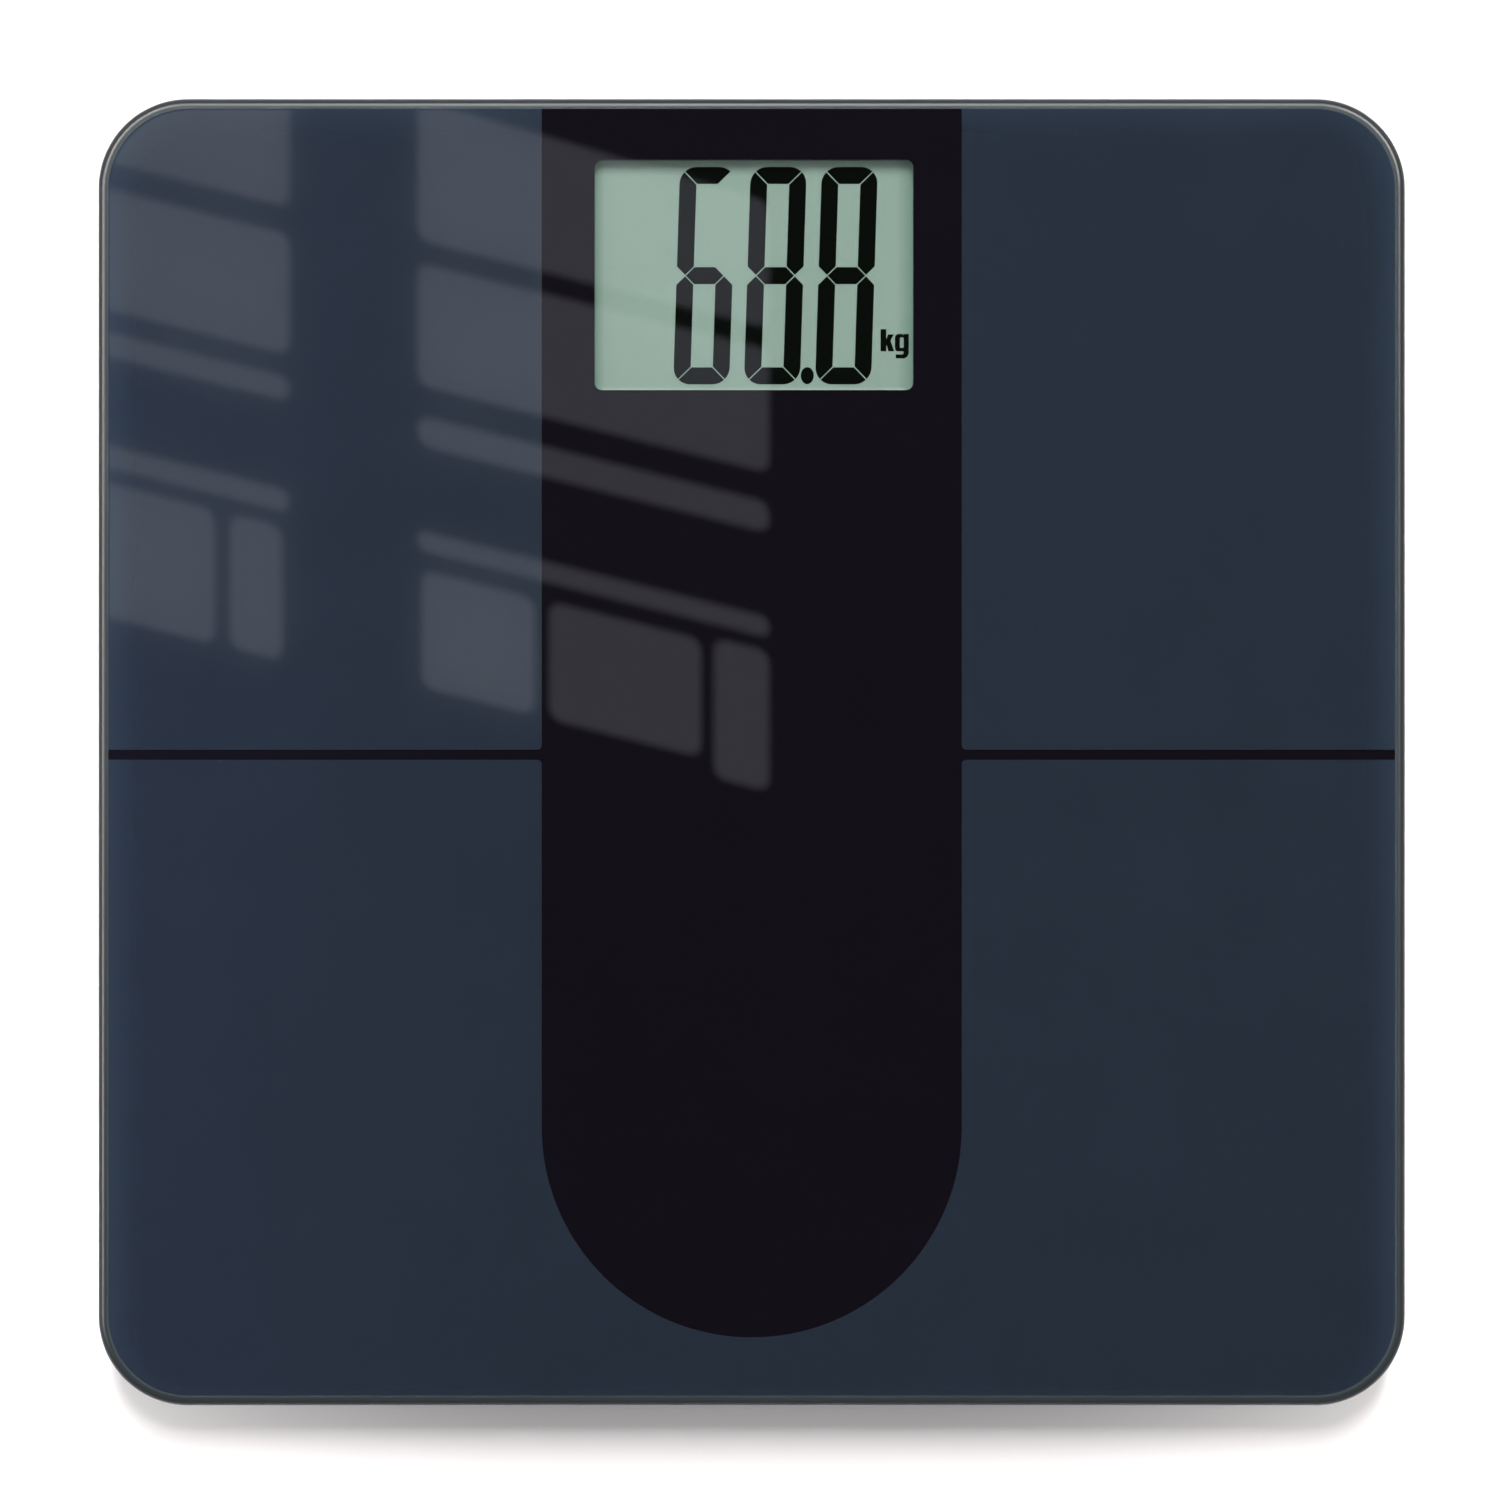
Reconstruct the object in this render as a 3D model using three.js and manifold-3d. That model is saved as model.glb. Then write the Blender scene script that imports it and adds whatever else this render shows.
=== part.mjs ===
// Digital bathroom scale with a square glass platform, in millimetres.
// +Z is up, +Y points to the display end, and the origin is on the floor under the centre of the glass.

import * as THREE from 'three';
import { mergeVertices } from 'three/addons/utils/BufferGeometryUtils.js';
import Module from 'manifold-3d';

const wasm = await Module();
wasm.setup();

// Platform
const SIDE = 300;
const CORNER_R = 20.5;
const HEIGHT = 26;
const GLASS_T = 6;
const ARRIS = 1.2;
const EDGE_CLEAR = 2; // clear glass outside the print

// Print under the glass
const FILM_T = 0.15;
const FACE_GAP = 0.05; // between faces that lie on each other
const TONGUE_W = 96.6;
const TONGUE_END_Y = -134.6;
const LINE_Y = -0.6;
const LINE_W = 2.3;
const LINE_FILLET = 1;

// Display
const WINDOW = { x: 0.5, y: 109.8, width: 73.3, depth: 53, radius: 1.7 };
const FRAME_W = 83;
const FRAME_D = 61.5;
const LCD_W = 77;
const LCD_D = 56.6;
const LCD_T = 2.8;
const LCD_CLEAR = 0.2;

// Tray
const TRAY_SIDE = 288;
const TRAY_R = 16;
const TRAY_Z = 6;
const TRAY_CHAMFER = 2.5;
const WALL = 2;
const RIM_W = 8;
const RIM_T = 1.5;
const TAPE_T = 0.4;
const TAPE_W = 6;
const RIB_T = 1.5;
const RIB_H = 3;
const RIB_AT = 62; // ribs along X and Y stand this far from the middle
const RIB_END_Y = 72; // the long ribs stop before the board
const BAY_RIB_Y = 20; // rib beside the battery bay
const POST_R = 4;
const POST_ROW_Y = 66;
const SINK = 0.5; // how far ribs, posts and bosses run into the tray's floor

// Feet
const FOOT_AT = 108;
const FOOT_TRAVEL = 0.6;
const PAD_R = 18.5;
const PAD_H = 2.5;
const SHELL_R = 25;
const SHELL_WALL = 2;
const FLANGE_R = 28;
const FLANGE_T = 1.3;
const FOOT_HOLE_R = 26;
const CELL_SIDE = 32;
const CELL_T = 2;
const BOSS_Y = -5; // bracket boss and bar, in the foot's own frame
const BAR_D = 12;
const BAR_T = 2;
const LEG_NEAR = 29;
const LEG_FAR = 33.5;
const BRACKET_SCREW_X = 36;
const BRACKET_BOSS_R = 4;
const BRACKET_PILOT_R = 1.5;
const BRACKET_HOLE_R = 1.6;

// Board
const BOARD_W = 99;
const BOARD_T = 1.6;
const BOARD_Y = [79, 140.5];
const BOARD_LIFT = 2.4;
const BOARD_SCREWS = [[-45.8, 87], [45.8, 87], [-45.8, 133], [45.8, 133]];
const BUTTON = { x: 30, y: 90, radius: 4.5, flange: 6, hole: 4.9, lip: 0.45 };
const CHIP = { x: -12, y: 108, radius: 6, height: 1.3 };
const CAPACITOR = { x: [-30, -24], y: [92, 95.2], height: 1.8 };
const SWITCH_SIDE = 6;
const SWITCH_BORE_R = 1.8;
const PLUNGER_R = 1.5;
const BOARD_BOSS_R = 3.2;
const BOARD_PILOT_R = 1.4;
const BOARD_HOLE_R = 1.6;

// Battery bay, for two AAA cells lying along X
const BAY_Y = 42;
const BAY_HALF_X = 26.3;
const BAY_HALF_Y = 12;
const BAY_WALL = 1.5;
const BAY_ROOF_T = 0.8;
const LEDGE = 1;
const LEDGE_T = 0.4;
const DOOR_T = 1.5;
const DOOR_GAP = 0.3;
const HOOK_XS = [-15, 15];
const HOOK_W = 8;
const CATCH_W = 10;
const AAA_R = 5.25;
const AAA_LENGTH = 44.5;
const AAA_NUB = 0.9;
const AAA_PITCH = 10.8;

// Heights worked out from the stack
const GLASS_Z = HEIGHT - GLASS_T;
const SLATE_Z = GLASS_Z - FACE_GAP - FILM_T;
const BLACK_Z = SLATE_Z - FACE_GAP - FILM_T;
const TAPE_Z = BLACK_Z - FACE_GAP - TAPE_T;
const TRAY_TOP = TAPE_Z - FACE_GAP;
const FLOOR_TOP = TRAY_Z + WALL;
const TRAY_HALF = TRAY_SIDE / 2;
const INNER_HALF = TRAY_HALF - WALL;
const BOARD_Z = FLOOR_TOP + BOARD_LIFT;
const BOARD_TOP = BOARD_Z + BOARD_T;
const LCD_Z = BOARD_TOP + 1.35;
const LCD_TOP = LCD_Z + LCD_T;
const FRAME_TOP = TAPE_Z + FACE_GAP;
const DOOR_TOP = TRAY_Z + DOOR_T;
const CELL_AXIS_Z = DOOR_TOP + 0.2 + AAA_R;
const SHELL_Z = PAD_H + FACE_GAP;
const FLANGE_Z = FLOOR_TOP + 0.6;
const CELL_Z = 5.45;
const BAR_Z = 11.2;
const LEAD_R = 1.1;
const LEAD_Z = BOARD_TOP + FACE_GAP + LEAD_R;

// ---------------------------------------------------------------- helpers

function solidOf(geometry) {
  const plain = geometry.clone();
  plain.deleteAttribute('normal');
  plain.deleteAttribute('uv');
  const merged = mergeVertices(plain, 1e-4);
  const index = Array.from(merged.index.array);
  const triVerts = [];
  for (let i = 0; i < index.length; i += 3) {
    const [a, b, c] = index.slice(i, i + 3);
    if (a !== b && b !== c && c !== a) triVerts.push(a, b, c);
  }
  const vertProperties = Float32Array.from(merged.attributes.position.array);
  const mesh = new wasm.Mesh({ numProp: 3, vertProperties, triVerts: Uint32Array.from(triVerts) });
  return new wasm.Manifold(mesh);
}

function geometryOf(solid) {
  const mesh = solid.getMesh();
  const geometry = new THREE.BufferGeometry();
  geometry.setAttribute('position', new THREE.BufferAttribute(mesh.vertProperties, 3));
  geometry.setIndex(new THREE.BufferAttribute(mesh.triVerts, 1));
  return geometry;
}

function roundedRect(width, depth, radius, x = 0, y = 0) {
  const halfW = width / 2 - radius;
  const halfD = depth / 2 - radius;
  const shape = new THREE.Shape();
  shape.absarc(x + halfW, y + halfD, radius, 0, Math.PI / 2);
  shape.absarc(x - halfW, y + halfD, radius, Math.PI / 2, Math.PI);
  shape.absarc(x - halfW, y - halfD, radius, Math.PI, Math.PI * 1.5);
  shape.absarc(x + halfW, y - halfD, radius, Math.PI * 1.5, Math.PI * 2);
  return shape;
}

function slab(shape, bottom, top, curveSegments = 3) {
  const options = { depth: top - bottom, bevelEnabled: false, curveSegments };
  return solidOf(new THREE.ExtrudeGeometry(shape, options).translate(0, 0, bottom));
}

// A slab whose upper and lower edges are rounded over by `bevel`.
function roundedSlab(shape, bottom, top, bevel, bevelSegments = 2) {
  const options = {
    depth: top - bottom - 2 * bevel,
    bevelThickness: bevel,
    bevelSize: bevel,
    bevelOffset: -bevel,
    bevelSegments,
    curveSegments: 4,
  };
  return solidOf(new THREE.ExtrudeGeometry(shape, options).translate(0, 0, bottom + bevel));
}

function block([x0, x1], [y0, y1], [z0, z1]) {
  const box = new THREE.BoxGeometry(x1 - x0, y1 - y0, z1 - z0);
  return solidOf(box.translate((x0 + x1) / 2, (y0 + y1) / 2, (z0 + z1) / 2));
}

function post(x, y, radius, bottom, top, sides = 12) {
  const cylinder = new THREE.CylinderGeometry(radius, radius, top - bottom, sides);
  return solidOf(cylinder.rotateX(Math.PI / 2).translate(x, y, (bottom + top) / 2));
}

// A turned solid about the vertical line through x, y. Its profile of [radius, height] starts and
// ends on the axis.
function turned(profile, x = 0, y = 0, sides = 24) {
  const points = profile.map(([radius, height]) => new THREE.Vector2(radius, height));
  const geometry = new THREE.LatheGeometry(points, sides);
  return solidOf(geometry.rotateX(Math.PI / 2).translate(x, y, 0));
}

function wire(points, radius, steps, sides = 6) {
  const path = new THREE.CatmullRomCurve3(points.map((p) => new THREE.Vector3(...p)));
  const section = new THREE.Shape().absarc(0, 0, radius, 0, Math.PI * 2);
  const options = { steps, extrudePath: path, curveSegments: sides / 2 };
  return solidOf(new THREE.ExtrudeGeometry(section, options));
}

function around(centre, half) {
  return [centre - half, centre + half];
}

function ordered(a, b) {
  return a < b ? [a, b] : [b, a];
}

const scale = new THREE.Group();

function place(name, solid, color, roughness, metalness = 0, parent = scale) {
  const material = new THREE.MeshStandardMaterial({ color, roughness, metalness });
  const mesh = new THREE.Mesh(geometryOf(solid), material);
  mesh.name = name;
  parent.add(mesh);
}

// ---------------------------------------------------------------- platform and print

function glassPlatform() {
  return roundedSlab(roundedRect(SIDE, SIDE, CORNER_R), GLASS_Z, HEIGHT, ARRIS);
}

// One of the two upper fields: side is -1 for the left and 1 for the right.
function upperSlate(side) {
  const half = SIDE / 2 - EDGE_CLEAR;
  const radius = CORNER_R - EDGE_CLEAR;
  const inner = TONGUE_W / 2;
  const low = LINE_Y + LINE_W / 2;
  const shape = new THREE.Shape();
  shape.moveTo(inner, half);
  shape.lineTo(inner, low + LINE_FILLET);
  shape.absarc(inner + LINE_FILLET, low + LINE_FILLET, LINE_FILLET, Math.PI, Math.PI * 1.5);
  shape.lineTo(half, low);
  shape.lineTo(half, half - radius);
  shape.absarc(half - radius, half - radius, radius, 0, Math.PI / 2);
  const field = slab(shape, SLATE_Z, SLATE_Z + FILM_T);
  return side > 0 ? field : field.mirror([1, 0, 0]);
}

// The lower field runs round the end of the black tongue.
function lowerSlate() {
  const half = SIDE / 2 - EDGE_CLEAR;
  const radius = CORNER_R - EDGE_CLEAR;
  const inner = TONGUE_W / 2;
  const high = LINE_Y - LINE_W / 2;
  const shape = new THREE.Shape();
  shape.moveTo(-half, high);
  shape.absarc(-half + radius, -half + radius, radius, Math.PI, Math.PI * 1.5);
  shape.absarc(half - radius, -half + radius, radius, Math.PI * 1.5, Math.PI * 2);
  shape.lineTo(half, high);
  shape.absarc(inner + LINE_FILLET, high - LINE_FILLET, LINE_FILLET, Math.PI / 2, Math.PI);
  shape.absarc(0, TONGUE_END_Y + inner, inner, 0, Math.PI, true);
  shape.absarc(-inner - LINE_FILLET, high - LINE_FILLET, LINE_FILLET, 0, Math.PI / 2);
  return slab(shape, SLATE_Z, SLATE_Z + FILM_T, 6);
}

function blackPrint() {
  const inset = 2 * EDGE_CLEAR;
  const sheet = roundedRect(SIDE - inset, SIDE - inset, CORNER_R - EDGE_CLEAR);
  sheet.holes.push(roundedRect(WINDOW.width, WINDOW.depth, WINDOW.radius, WINDOW.x, WINDOW.y));
  return slab(sheet, BLACK_Z, BLACK_Z + FILM_T);
}

function mountingTape() {
  const outer = TRAY_SIDE - 2;
  const ring = roundedRect(outer, outer, TRAY_R - 1);
  ring.holes.push(roundedRect(outer - 2 * TAPE_W, outer - 2 * TAPE_W, TRAY_R - TAPE_W));
  const frameEnd = WINDOW.y + FRAME_D / 2 + 0.6;
  const notch = block(around(WINDOW.x, FRAME_W / 2 + 1), [WINDOW.y, frameEnd], [TAPE_Z - 1, GLASS_Z]);
  return slab(ring, TAPE_Z, TAPE_Z + TAPE_T).subtract(notch);
}

// ---------------------------------------------------------------- tray

function trayShell() {
  const height = TRAY_TOP - TRAY_Z;
  const tall = roundedSlab(
    roundedRect(TRAY_SIDE, TRAY_SIDE, TRAY_R),
    TRAY_Z,
    TRAY_TOP + height,
    TRAY_CHAMFER,
  );
  const keep = block(around(0, TRAY_HALF + 1), around(0, TRAY_HALF + 1), [TRAY_Z - 1, TRAY_TOP]);
  const inner = 2 * INNER_HALF;
  const room = slab(roundedRect(inner, inner, TRAY_R - WALL), FLOOR_TOP, TRAY_TOP - RIM_T);
  const mouthSide = inner - 2 * (RIM_W - WALL);
  const mouth = slab(roundedRect(mouthSide, mouthSide, RIM_W), TRAY_TOP - RIM_T - 1, TRAY_TOP + 1);
  const displayNotch = block(
    around(0, BOARD_W / 2 + 1),
    [WINDOW.y, INNER_HALF],
    [FLOOR_TOP, TRAY_TOP + 1],
  );
  return tall.intersect(keep).subtract(room).subtract(mouth).subtract(displayNotch);
}

function ribs() {
  const z = [FLOOR_TOP - SINK, FLOOR_TOP + RIB_H];
  const reach = INNER_HALF + SINK;
  const runs = [
    block(around(0, reach), around(-RIB_AT, RIB_T / 2), z),
    block(around(0, reach), around(BAY_RIB_Y, RIB_T / 2), z),
    block(around(0, RIB_T / 2), [-reach, BAY_Y - BAY_HALF_Y - SINK], z),
  ];
  for (const side of [-1, 1]) {
    runs.push(block(around(side * RIB_AT, RIB_T / 2), [-reach, RIB_END_Y], z));
    const outward = ordered(side * RIB_AT, side * reach);
    runs.push(block(outward, around(POST_ROW_Y, RIB_T / 2), z));
  }
  return wasm.Manifold.union(runs);
}

// Posts that carry the middle of the glass.
function supportPosts() {
  const spots = [[0, -RIB_AT], [0, 0]];
  for (const y of [-RIB_AT, BAY_RIB_Y, POST_ROW_Y]) spots.push([-RIB_AT, y], [RIB_AT, y]);
  return wasm.Manifold.union(spots.map(([x, y]) => post(x, y, POST_R, FLOOR_TOP - SINK, TRAY_TOP)));
}

function screwBosses() {
  const low = FLOOR_TOP - SINK;
  const bosses = BOARD_SCREWS.map(([x, y]) => post(x, y, BOARD_BOSS_R, low, BOARD_Z - FACE_GAP));
  for (const [side, end] of FOOT_SIGNS) {
    const [x, y] = bracketScrewSpot(side, end);
    bosses.push(post(x, y, BRACKET_BOSS_R, low, BAR_Z - FACE_GAP));
  }
  return wasm.Manifold.union(bosses);
}

function screwHoles() {
  const holes = BOARD_SCREWS.map(([x, y]) => {
    return post(x, y, BOARD_PILOT_R, FLOOR_TOP - 0.6, BOARD_Z + 1, 8);
  });
  for (const [side, end] of FOOT_SIGNS) {
    const [x, y] = bracketScrewSpot(side, end);
    holes.push(post(x, y, BRACKET_PILOT_R, FLOOR_TOP - 1.2, BAR_Z + 1, 8));
  }
  return wasm.Manifold.union(holes);
}

function bayBox() {
  const x = around(0, BAY_HALF_X + BAY_WALL);
  const y = around(BAY_Y, BAY_HALF_Y + BAY_WALL);
  return block(x, y, [FLOOR_TOP - SINK, TRAY_TOP]);
}

// Room for the cells, the door, its hooks and catch, the contact tabs, and a finger by the catch.
function bayRoom() {
  const [low, high] = around(BAY_Y, BAY_HALF_Y);
  const cuts = [
    block(around(0, BAY_HALF_X), [low, high], [TRAY_Z + DOOR_T + 0.1, TRAY_TOP - BAY_ROOF_T]),
    slab(
      roundedRect(2 * (BAY_HALF_X + LEDGE), 2 * (BAY_HALF_Y + LEDGE), 1.8, 0, BAY_Y),
      TRAY_Z - 1,
      FLOOR_TOP - LEDGE_T,
    ),
    block(around(0, CATCH_W / 2 + 0.6), [high - 1, high + LEDGE], [DOOR_TOP, FLOOR_TOP + 2]),
    slab(roundedRect(16, 8, 3.5, 0, high + LEDGE + 2.5), TRAY_Z - 1, TRAY_Z + 1.2),
  ];
  for (const hook of HOOK_XS) {
    const x = around(hook, HOOK_W / 2 + 0.4);
    cuts.push(block(x, [low - LEDGE, low + 1], [DOOR_TOP, FLOOR_TOP + 0.1]));
    cuts.push(block(x, [low - 3.1, low + 1], [FLOOR_TOP, FLOOR_TOP + 2.4]));
  }
  for (const row of [-1, 1]) {
    const y = around(BAY_Y + (row * AAA_PITCH) / 2, 1.5);
    cuts.push(block([-BAY_HALF_X - BAY_WALL - 1, -BAY_HALF_X + 1], y, [14.5, 16]));
  }
  return wasm.Manifold.union(cuts);
}

function baseTray() {
  const holes = FOOT_SIGNS.map(([side, end]) => {
    return post(side * FOOT_AT, end * FOOT_AT, FOOT_HOLE_R, TRAY_Z - 1, FLOOR_TOP + 1, 28);
  });
  holes.push(post(BUTTON.x, BUTTON.y, BUTTON.hole, TRAY_Z - 1, FLOOR_TOP + 1));
  return trayShell()
    .add(ribs())
    .add(supportPosts())
    .add(screwBosses())
    .add(bayBox())
    .subtract(bayRoom())
    .subtract(screwHoles())
    .subtract(wasm.Manifold.union(holes));
}

// ---------------------------------------------------------------- feet

// Left or right, then heel end or display end.
const FOOT_SIGNS = [[-1, 1], [1, 1], [-1, -1], [1, -1]];

function footName(side, end) {
  return `${end > 0 ? 'display' : 'heel'}_${side < 0 ? 'left' : 'right'}`;
}

function bracketScrewSpot(side, end) {
  return [side * (FOOT_AT - BRACKET_SCREW_X), end * (FOOT_AT - BOSS_Y)];
}

function footPad() {
  return turned([[0, 0], [PAD_R - 0.7, 0], [PAD_R, 0.7], [PAD_R, PAD_H], [0, PAD_H]]);
}

// A cup with a floor, a ledge that carries the rim of the load cell, and a flange that keeps it in
// the tray.
function footShell() {
  const inside = SHELL_R - SHELL_WALL;
  const flangeTop = FLANGE_Z + FLANGE_T;
  return turned([
    [0, SHELL_Z],
    [SHELL_R - 1.5, SHELL_Z],
    [SHELL_R, SHELL_Z + 1.5],
    [SHELL_R, FLANGE_Z],
    [FLANGE_R, FLANGE_Z],
    [FLANGE_R, flangeTop],
    [inside, flangeTop],
    [inside, CELL_Z - FACE_GAP],
    [CELL_SIDE / 2 - 4, CELL_Z - FACE_GAP],
    [CELL_SIDE / 2 - 4, SHELL_Z + 1.9],
    [0, SHELL_Z + 1.9],
  ], 0, 0, 28);
}

// A square steel plate with a slot that frees a tongue in its middle.
function loadCell() {
  const z = [CELL_Z - 1, CELL_Z + CELL_T + 1];
  const slot = wasm.Manifold.union([
    block([-10, -8], [-11, 9], z),
    block([8, 10], [-11, 9], z),
    block([-10, 10], [-11, -9], z),
  ]);
  const plate = slab(roundedRect(CELL_SIDE, CELL_SIDE, 4), CELL_Z, CELL_Z + CELL_T, 5);
  return plate.subtract(slot);
}

function strainGauge() {
  const bottom = CELL_Z + CELL_T + FACE_GAP;
  return block(around(0, 3), [0, 8], [bottom, bottom + 0.3]);
}

// A bar across the foot, one leg on the tray's floor, and the boss that bears on the cell's tongue.
function cellBracket(inner) {
  const span = ordered(-inner * LEG_FAR, inner * (BRACKET_SCREW_X + 5));
  const leg = ordered(-inner * LEG_FAR, -inner * LEG_NEAR);
  const y = around(BOSS_Y, BAR_D / 2);
  const bossBottom = CELL_Z + CELL_T + FOOT_TRAVEL + 0.25;
  const screwX = inner * BRACKET_SCREW_X;
  const hole = post(screwX, BOSS_Y, BRACKET_HOLE_R, BAR_Z - 1, BAR_Z + BAR_T + 1, 8);
  const rib = block(span, around(BOSS_Y, 0.75), [BAR_Z + 1, BAR_Z + BAR_T + 1.2]);
  return block(span, y, [BAR_Z, BAR_Z + BAR_T])
    .add(block(leg, y, [FLOOR_TOP + FACE_GAP, BAR_Z + 0.5]))
    .add(post(0, BOSS_Y, 3, bossBottom, BAR_Z + 0.5))
    .add(rib.subtract(post(screwX, BOSS_Y, 4.5, BAR_Z, BAR_Z + 6)))
    .subtract(hole);
}

// A pan-head screw whose head sits on the height `seat`.
function screw(x, y, seat, length, headR, shankR) {
  const head = turned([
    [0, seat],
    [headR, seat],
    [headR, seat + 0.7],
    [headR * 0.6, seat + 1.3],
    [0, seat + 1.3],
  ], x, y, 12);
  const recess = block(around(x, headR * 0.6), around(y, 0.35), [seat + 0.8, seat + 2])
    .add(block(around(x, 0.35), around(y, headR * 0.6), [seat + 0.8, seat + 2]));
  return head.add(post(x, y, shankR, seat - length, seat + 0.3, 8)).subtract(recess);
}

// Lead from the gauge over the shell's flange and along the tray to the board.
function cellLead(side, end) {
  const x = side * FOOT_AT;
  const start = [
    [x, end * (FOOT_AT - 6), 10.1],
    [x, end * (FOOT_AT - 11), 10.3],
    [x, end * (FOOT_AT - 19), 12.4],
    [x, end * (FOOT_AT - 27), LEAD_Z],
  ];
  const rest = end > 0
    ? [[side * 101, 74, LEAD_Z], [side * 88, 78, LEAD_Z], [side * 72, 94, LEAD_Z],
      [side * 60, 109, LEAD_Z], [side * 46.5, 112, LEAD_Z]]
    : [[side * 102, -70, LEAD_Z], [side * 84, -52, LEAD_Z], [side * 75, -20, LEAD_Z],
      [side * 74, 25, LEAD_Z], [side * 65, 42, LEAD_Z], [side * 55, 60, LEAD_Z],
      [side * 53, 88, LEAD_Z], [side * 46.5, 98, LEAD_Z]];
  return wire([...start, ...rest], LEAD_R, end > 0 ? 16 : 26);
}

function addFeet() {
  for (const [side, end] of FOOT_SIGNS) {
    const name = footName(side, end);
    const foot = new THREE.Group();
    foot.position.set(side * FOOT_AT, end * FOOT_AT, 0);
    foot.rotation.z = end > 0 ? Math.PI : 0;
    scale.add(foot);
    place(`foot_pad_${name}`, footPad(), 0x1b1b1d, 0.85, 0, foot);
    place(`foot_shell_${name}`, footShell(), 0x25272b, 0.55, 0, foot);
    place(`load_cell_${name}`, loadCell(), 0xa9adb0, 0.35, 0.9, foot);
    place(`strain_gauge_${name}`, strainGauge(), 0xe8e6dd, 0.5, 0, foot);
    place(`cell_bracket_${name}`, cellBracket(side * end), 0x2e3136, 0.6, 0, foot);
    const [x, y] = bracketScrewSpot(side, end);
    const seat = BAR_Z + BAR_T + FACE_GAP;
    place(`bracket_screw_${name}`, screw(x, y, seat, 6, 2.6, 1.1), 0x9a9da1, 0.3, 0.9);
    place(`cell_lead_${name}`, cellLead(side, end), 0xd9d9d6, 0.6);
  }
}

// ---------------------------------------------------------------- display and board

function displayFrame() {
  const { x, y, width, depth, radius } = WINDOW;
  const outline = roundedRect(FRAME_W, FRAME_D, 2.5, x, y);
  const lcdRoom = roundedRect(LCD_W + 2 * LCD_CLEAR, LCD_D + 2 * LCD_CLEAR, 0.8, x, y);
  return slab(outline, BOARD_TOP + FACE_GAP, FRAME_TOP, 5)
    .subtract(slab(lcdRoom, BOARD_TOP - 1, LCD_TOP + FACE_GAP, 5))
    .subtract(slab(roundedRect(width, depth, radius, x, y), LCD_TOP - 1, FRAME_TOP + 1, 5));
}

function displayGasket() {
  const { x, y, width, depth, radius } = WINDOW;
  const ring = roundedRect(FRAME_W - 0.6, FRAME_D - 0.6, 2.2, x, y);
  ring.holes.push(roundedRect(width + 1.6, depth + 1.6, radius + 0.8, x, y));
  return slab(ring, FRAME_TOP + FACE_GAP, BLACK_Z - FACE_GAP, 5);
}

function lcdPanel() {
  const back = roundedRect(LCD_W, LCD_D, 0.5, WINDOW.x, WINDOW.y);
  const front = roundedRect(LCD_W, LCD_D - 3, 0.5, WINDOW.x, WINDOW.y + 1.5);
  const middle = LCD_Z + LCD_T / 2;
  return slab(back, LCD_Z, middle, 3).add(slab(front, middle - 0.1, LCD_TOP, 3));
}

const ZEBRA_Y = [WINDOW.y - LCD_D / 2 + 0.4, WINDOW.y - LCD_D / 2 + 2.8];

function zebraStrip() {
  return block(around(WINDOW.x, 34), ZEBRA_Y, [BOARD_TOP + FACE_GAP, LCD_Z - FACE_GAP]);
}

function lcdBacking() {
  const y = [ZEBRA_Y[1] + 0.4, WINDOW.y + LCD_D / 2];
  return block(around(WINDOW.x, LCD_W / 2), y, [BOARD_TOP + FACE_GAP, LCD_Z - FACE_GAP]);
}

function mainBoard() {
  const depth = BOARD_Y[1] - BOARD_Y[0];
  const outline = roundedRect(BOARD_W, depth, 2, 0, BOARD_Y[0] + depth / 2);
  const holes = BOARD_SCREWS.map(([x, y]) => post(x, y, BOARD_HOLE_R, BOARD_Z - 1, BOARD_TOP + 1, 8));
  return slab(outline, BOARD_Z, BOARD_TOP, 4).subtract(wasm.Manifold.union(holes));
}

// The chip's resin blob hangs under the board.
function controllerChip() {
  const top = BOARD_Z - FACE_GAP;
  const { x, y, radius, height } = CHIP;
  return turned([
    [0, top - height],
    [radius * 0.58, top - height + 0.2],
    [radius * 0.9, top - 0.5],
    [radius, top],
    [0, top],
  ], x, y, 16);
}

function capacitor() {
  const top = BOARD_Z - FACE_GAP;
  return block(CAPACITOR.x, CAPACITOR.y, [top - CAPACITOR.height, top]);
}

function switchBody() {
  const { x, y } = BUTTON;
  const z = [FLOOR_TOP + 1.1, BOARD_Z - FACE_GAP];
  const half = SWITCH_SIDE / 2;
  const bore = post(x, y, SWITCH_BORE_R, z[0] - 1, z[1] + 1);
  return block(around(x, half), around(y, half), z).subtract(bore);
}

function switchPlunger() {
  const low = FLOOR_TOP + 2 * FACE_GAP + BUTTON.lip;
  return post(BUTTON.x, BUTTON.y, PLUNGER_R, low, low + 0.95, 10);
}

function unitButton() {
  const low = TRAY_Z - 0.4;
  const seat = FLOOR_TOP + FACE_GAP;
  return turned([
    [0, low],
    [BUTTON.radius - 0.5, low],
    [BUTTON.radius, low + 0.5],
    [BUTTON.radius, seat],
    [BUTTON.flange, seat],
    [BUTTON.flange, seat + BUTTON.lip],
    [0, seat + BUTTON.lip],
  ], BUTTON.x, BUTTON.y, 20);
}

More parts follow.
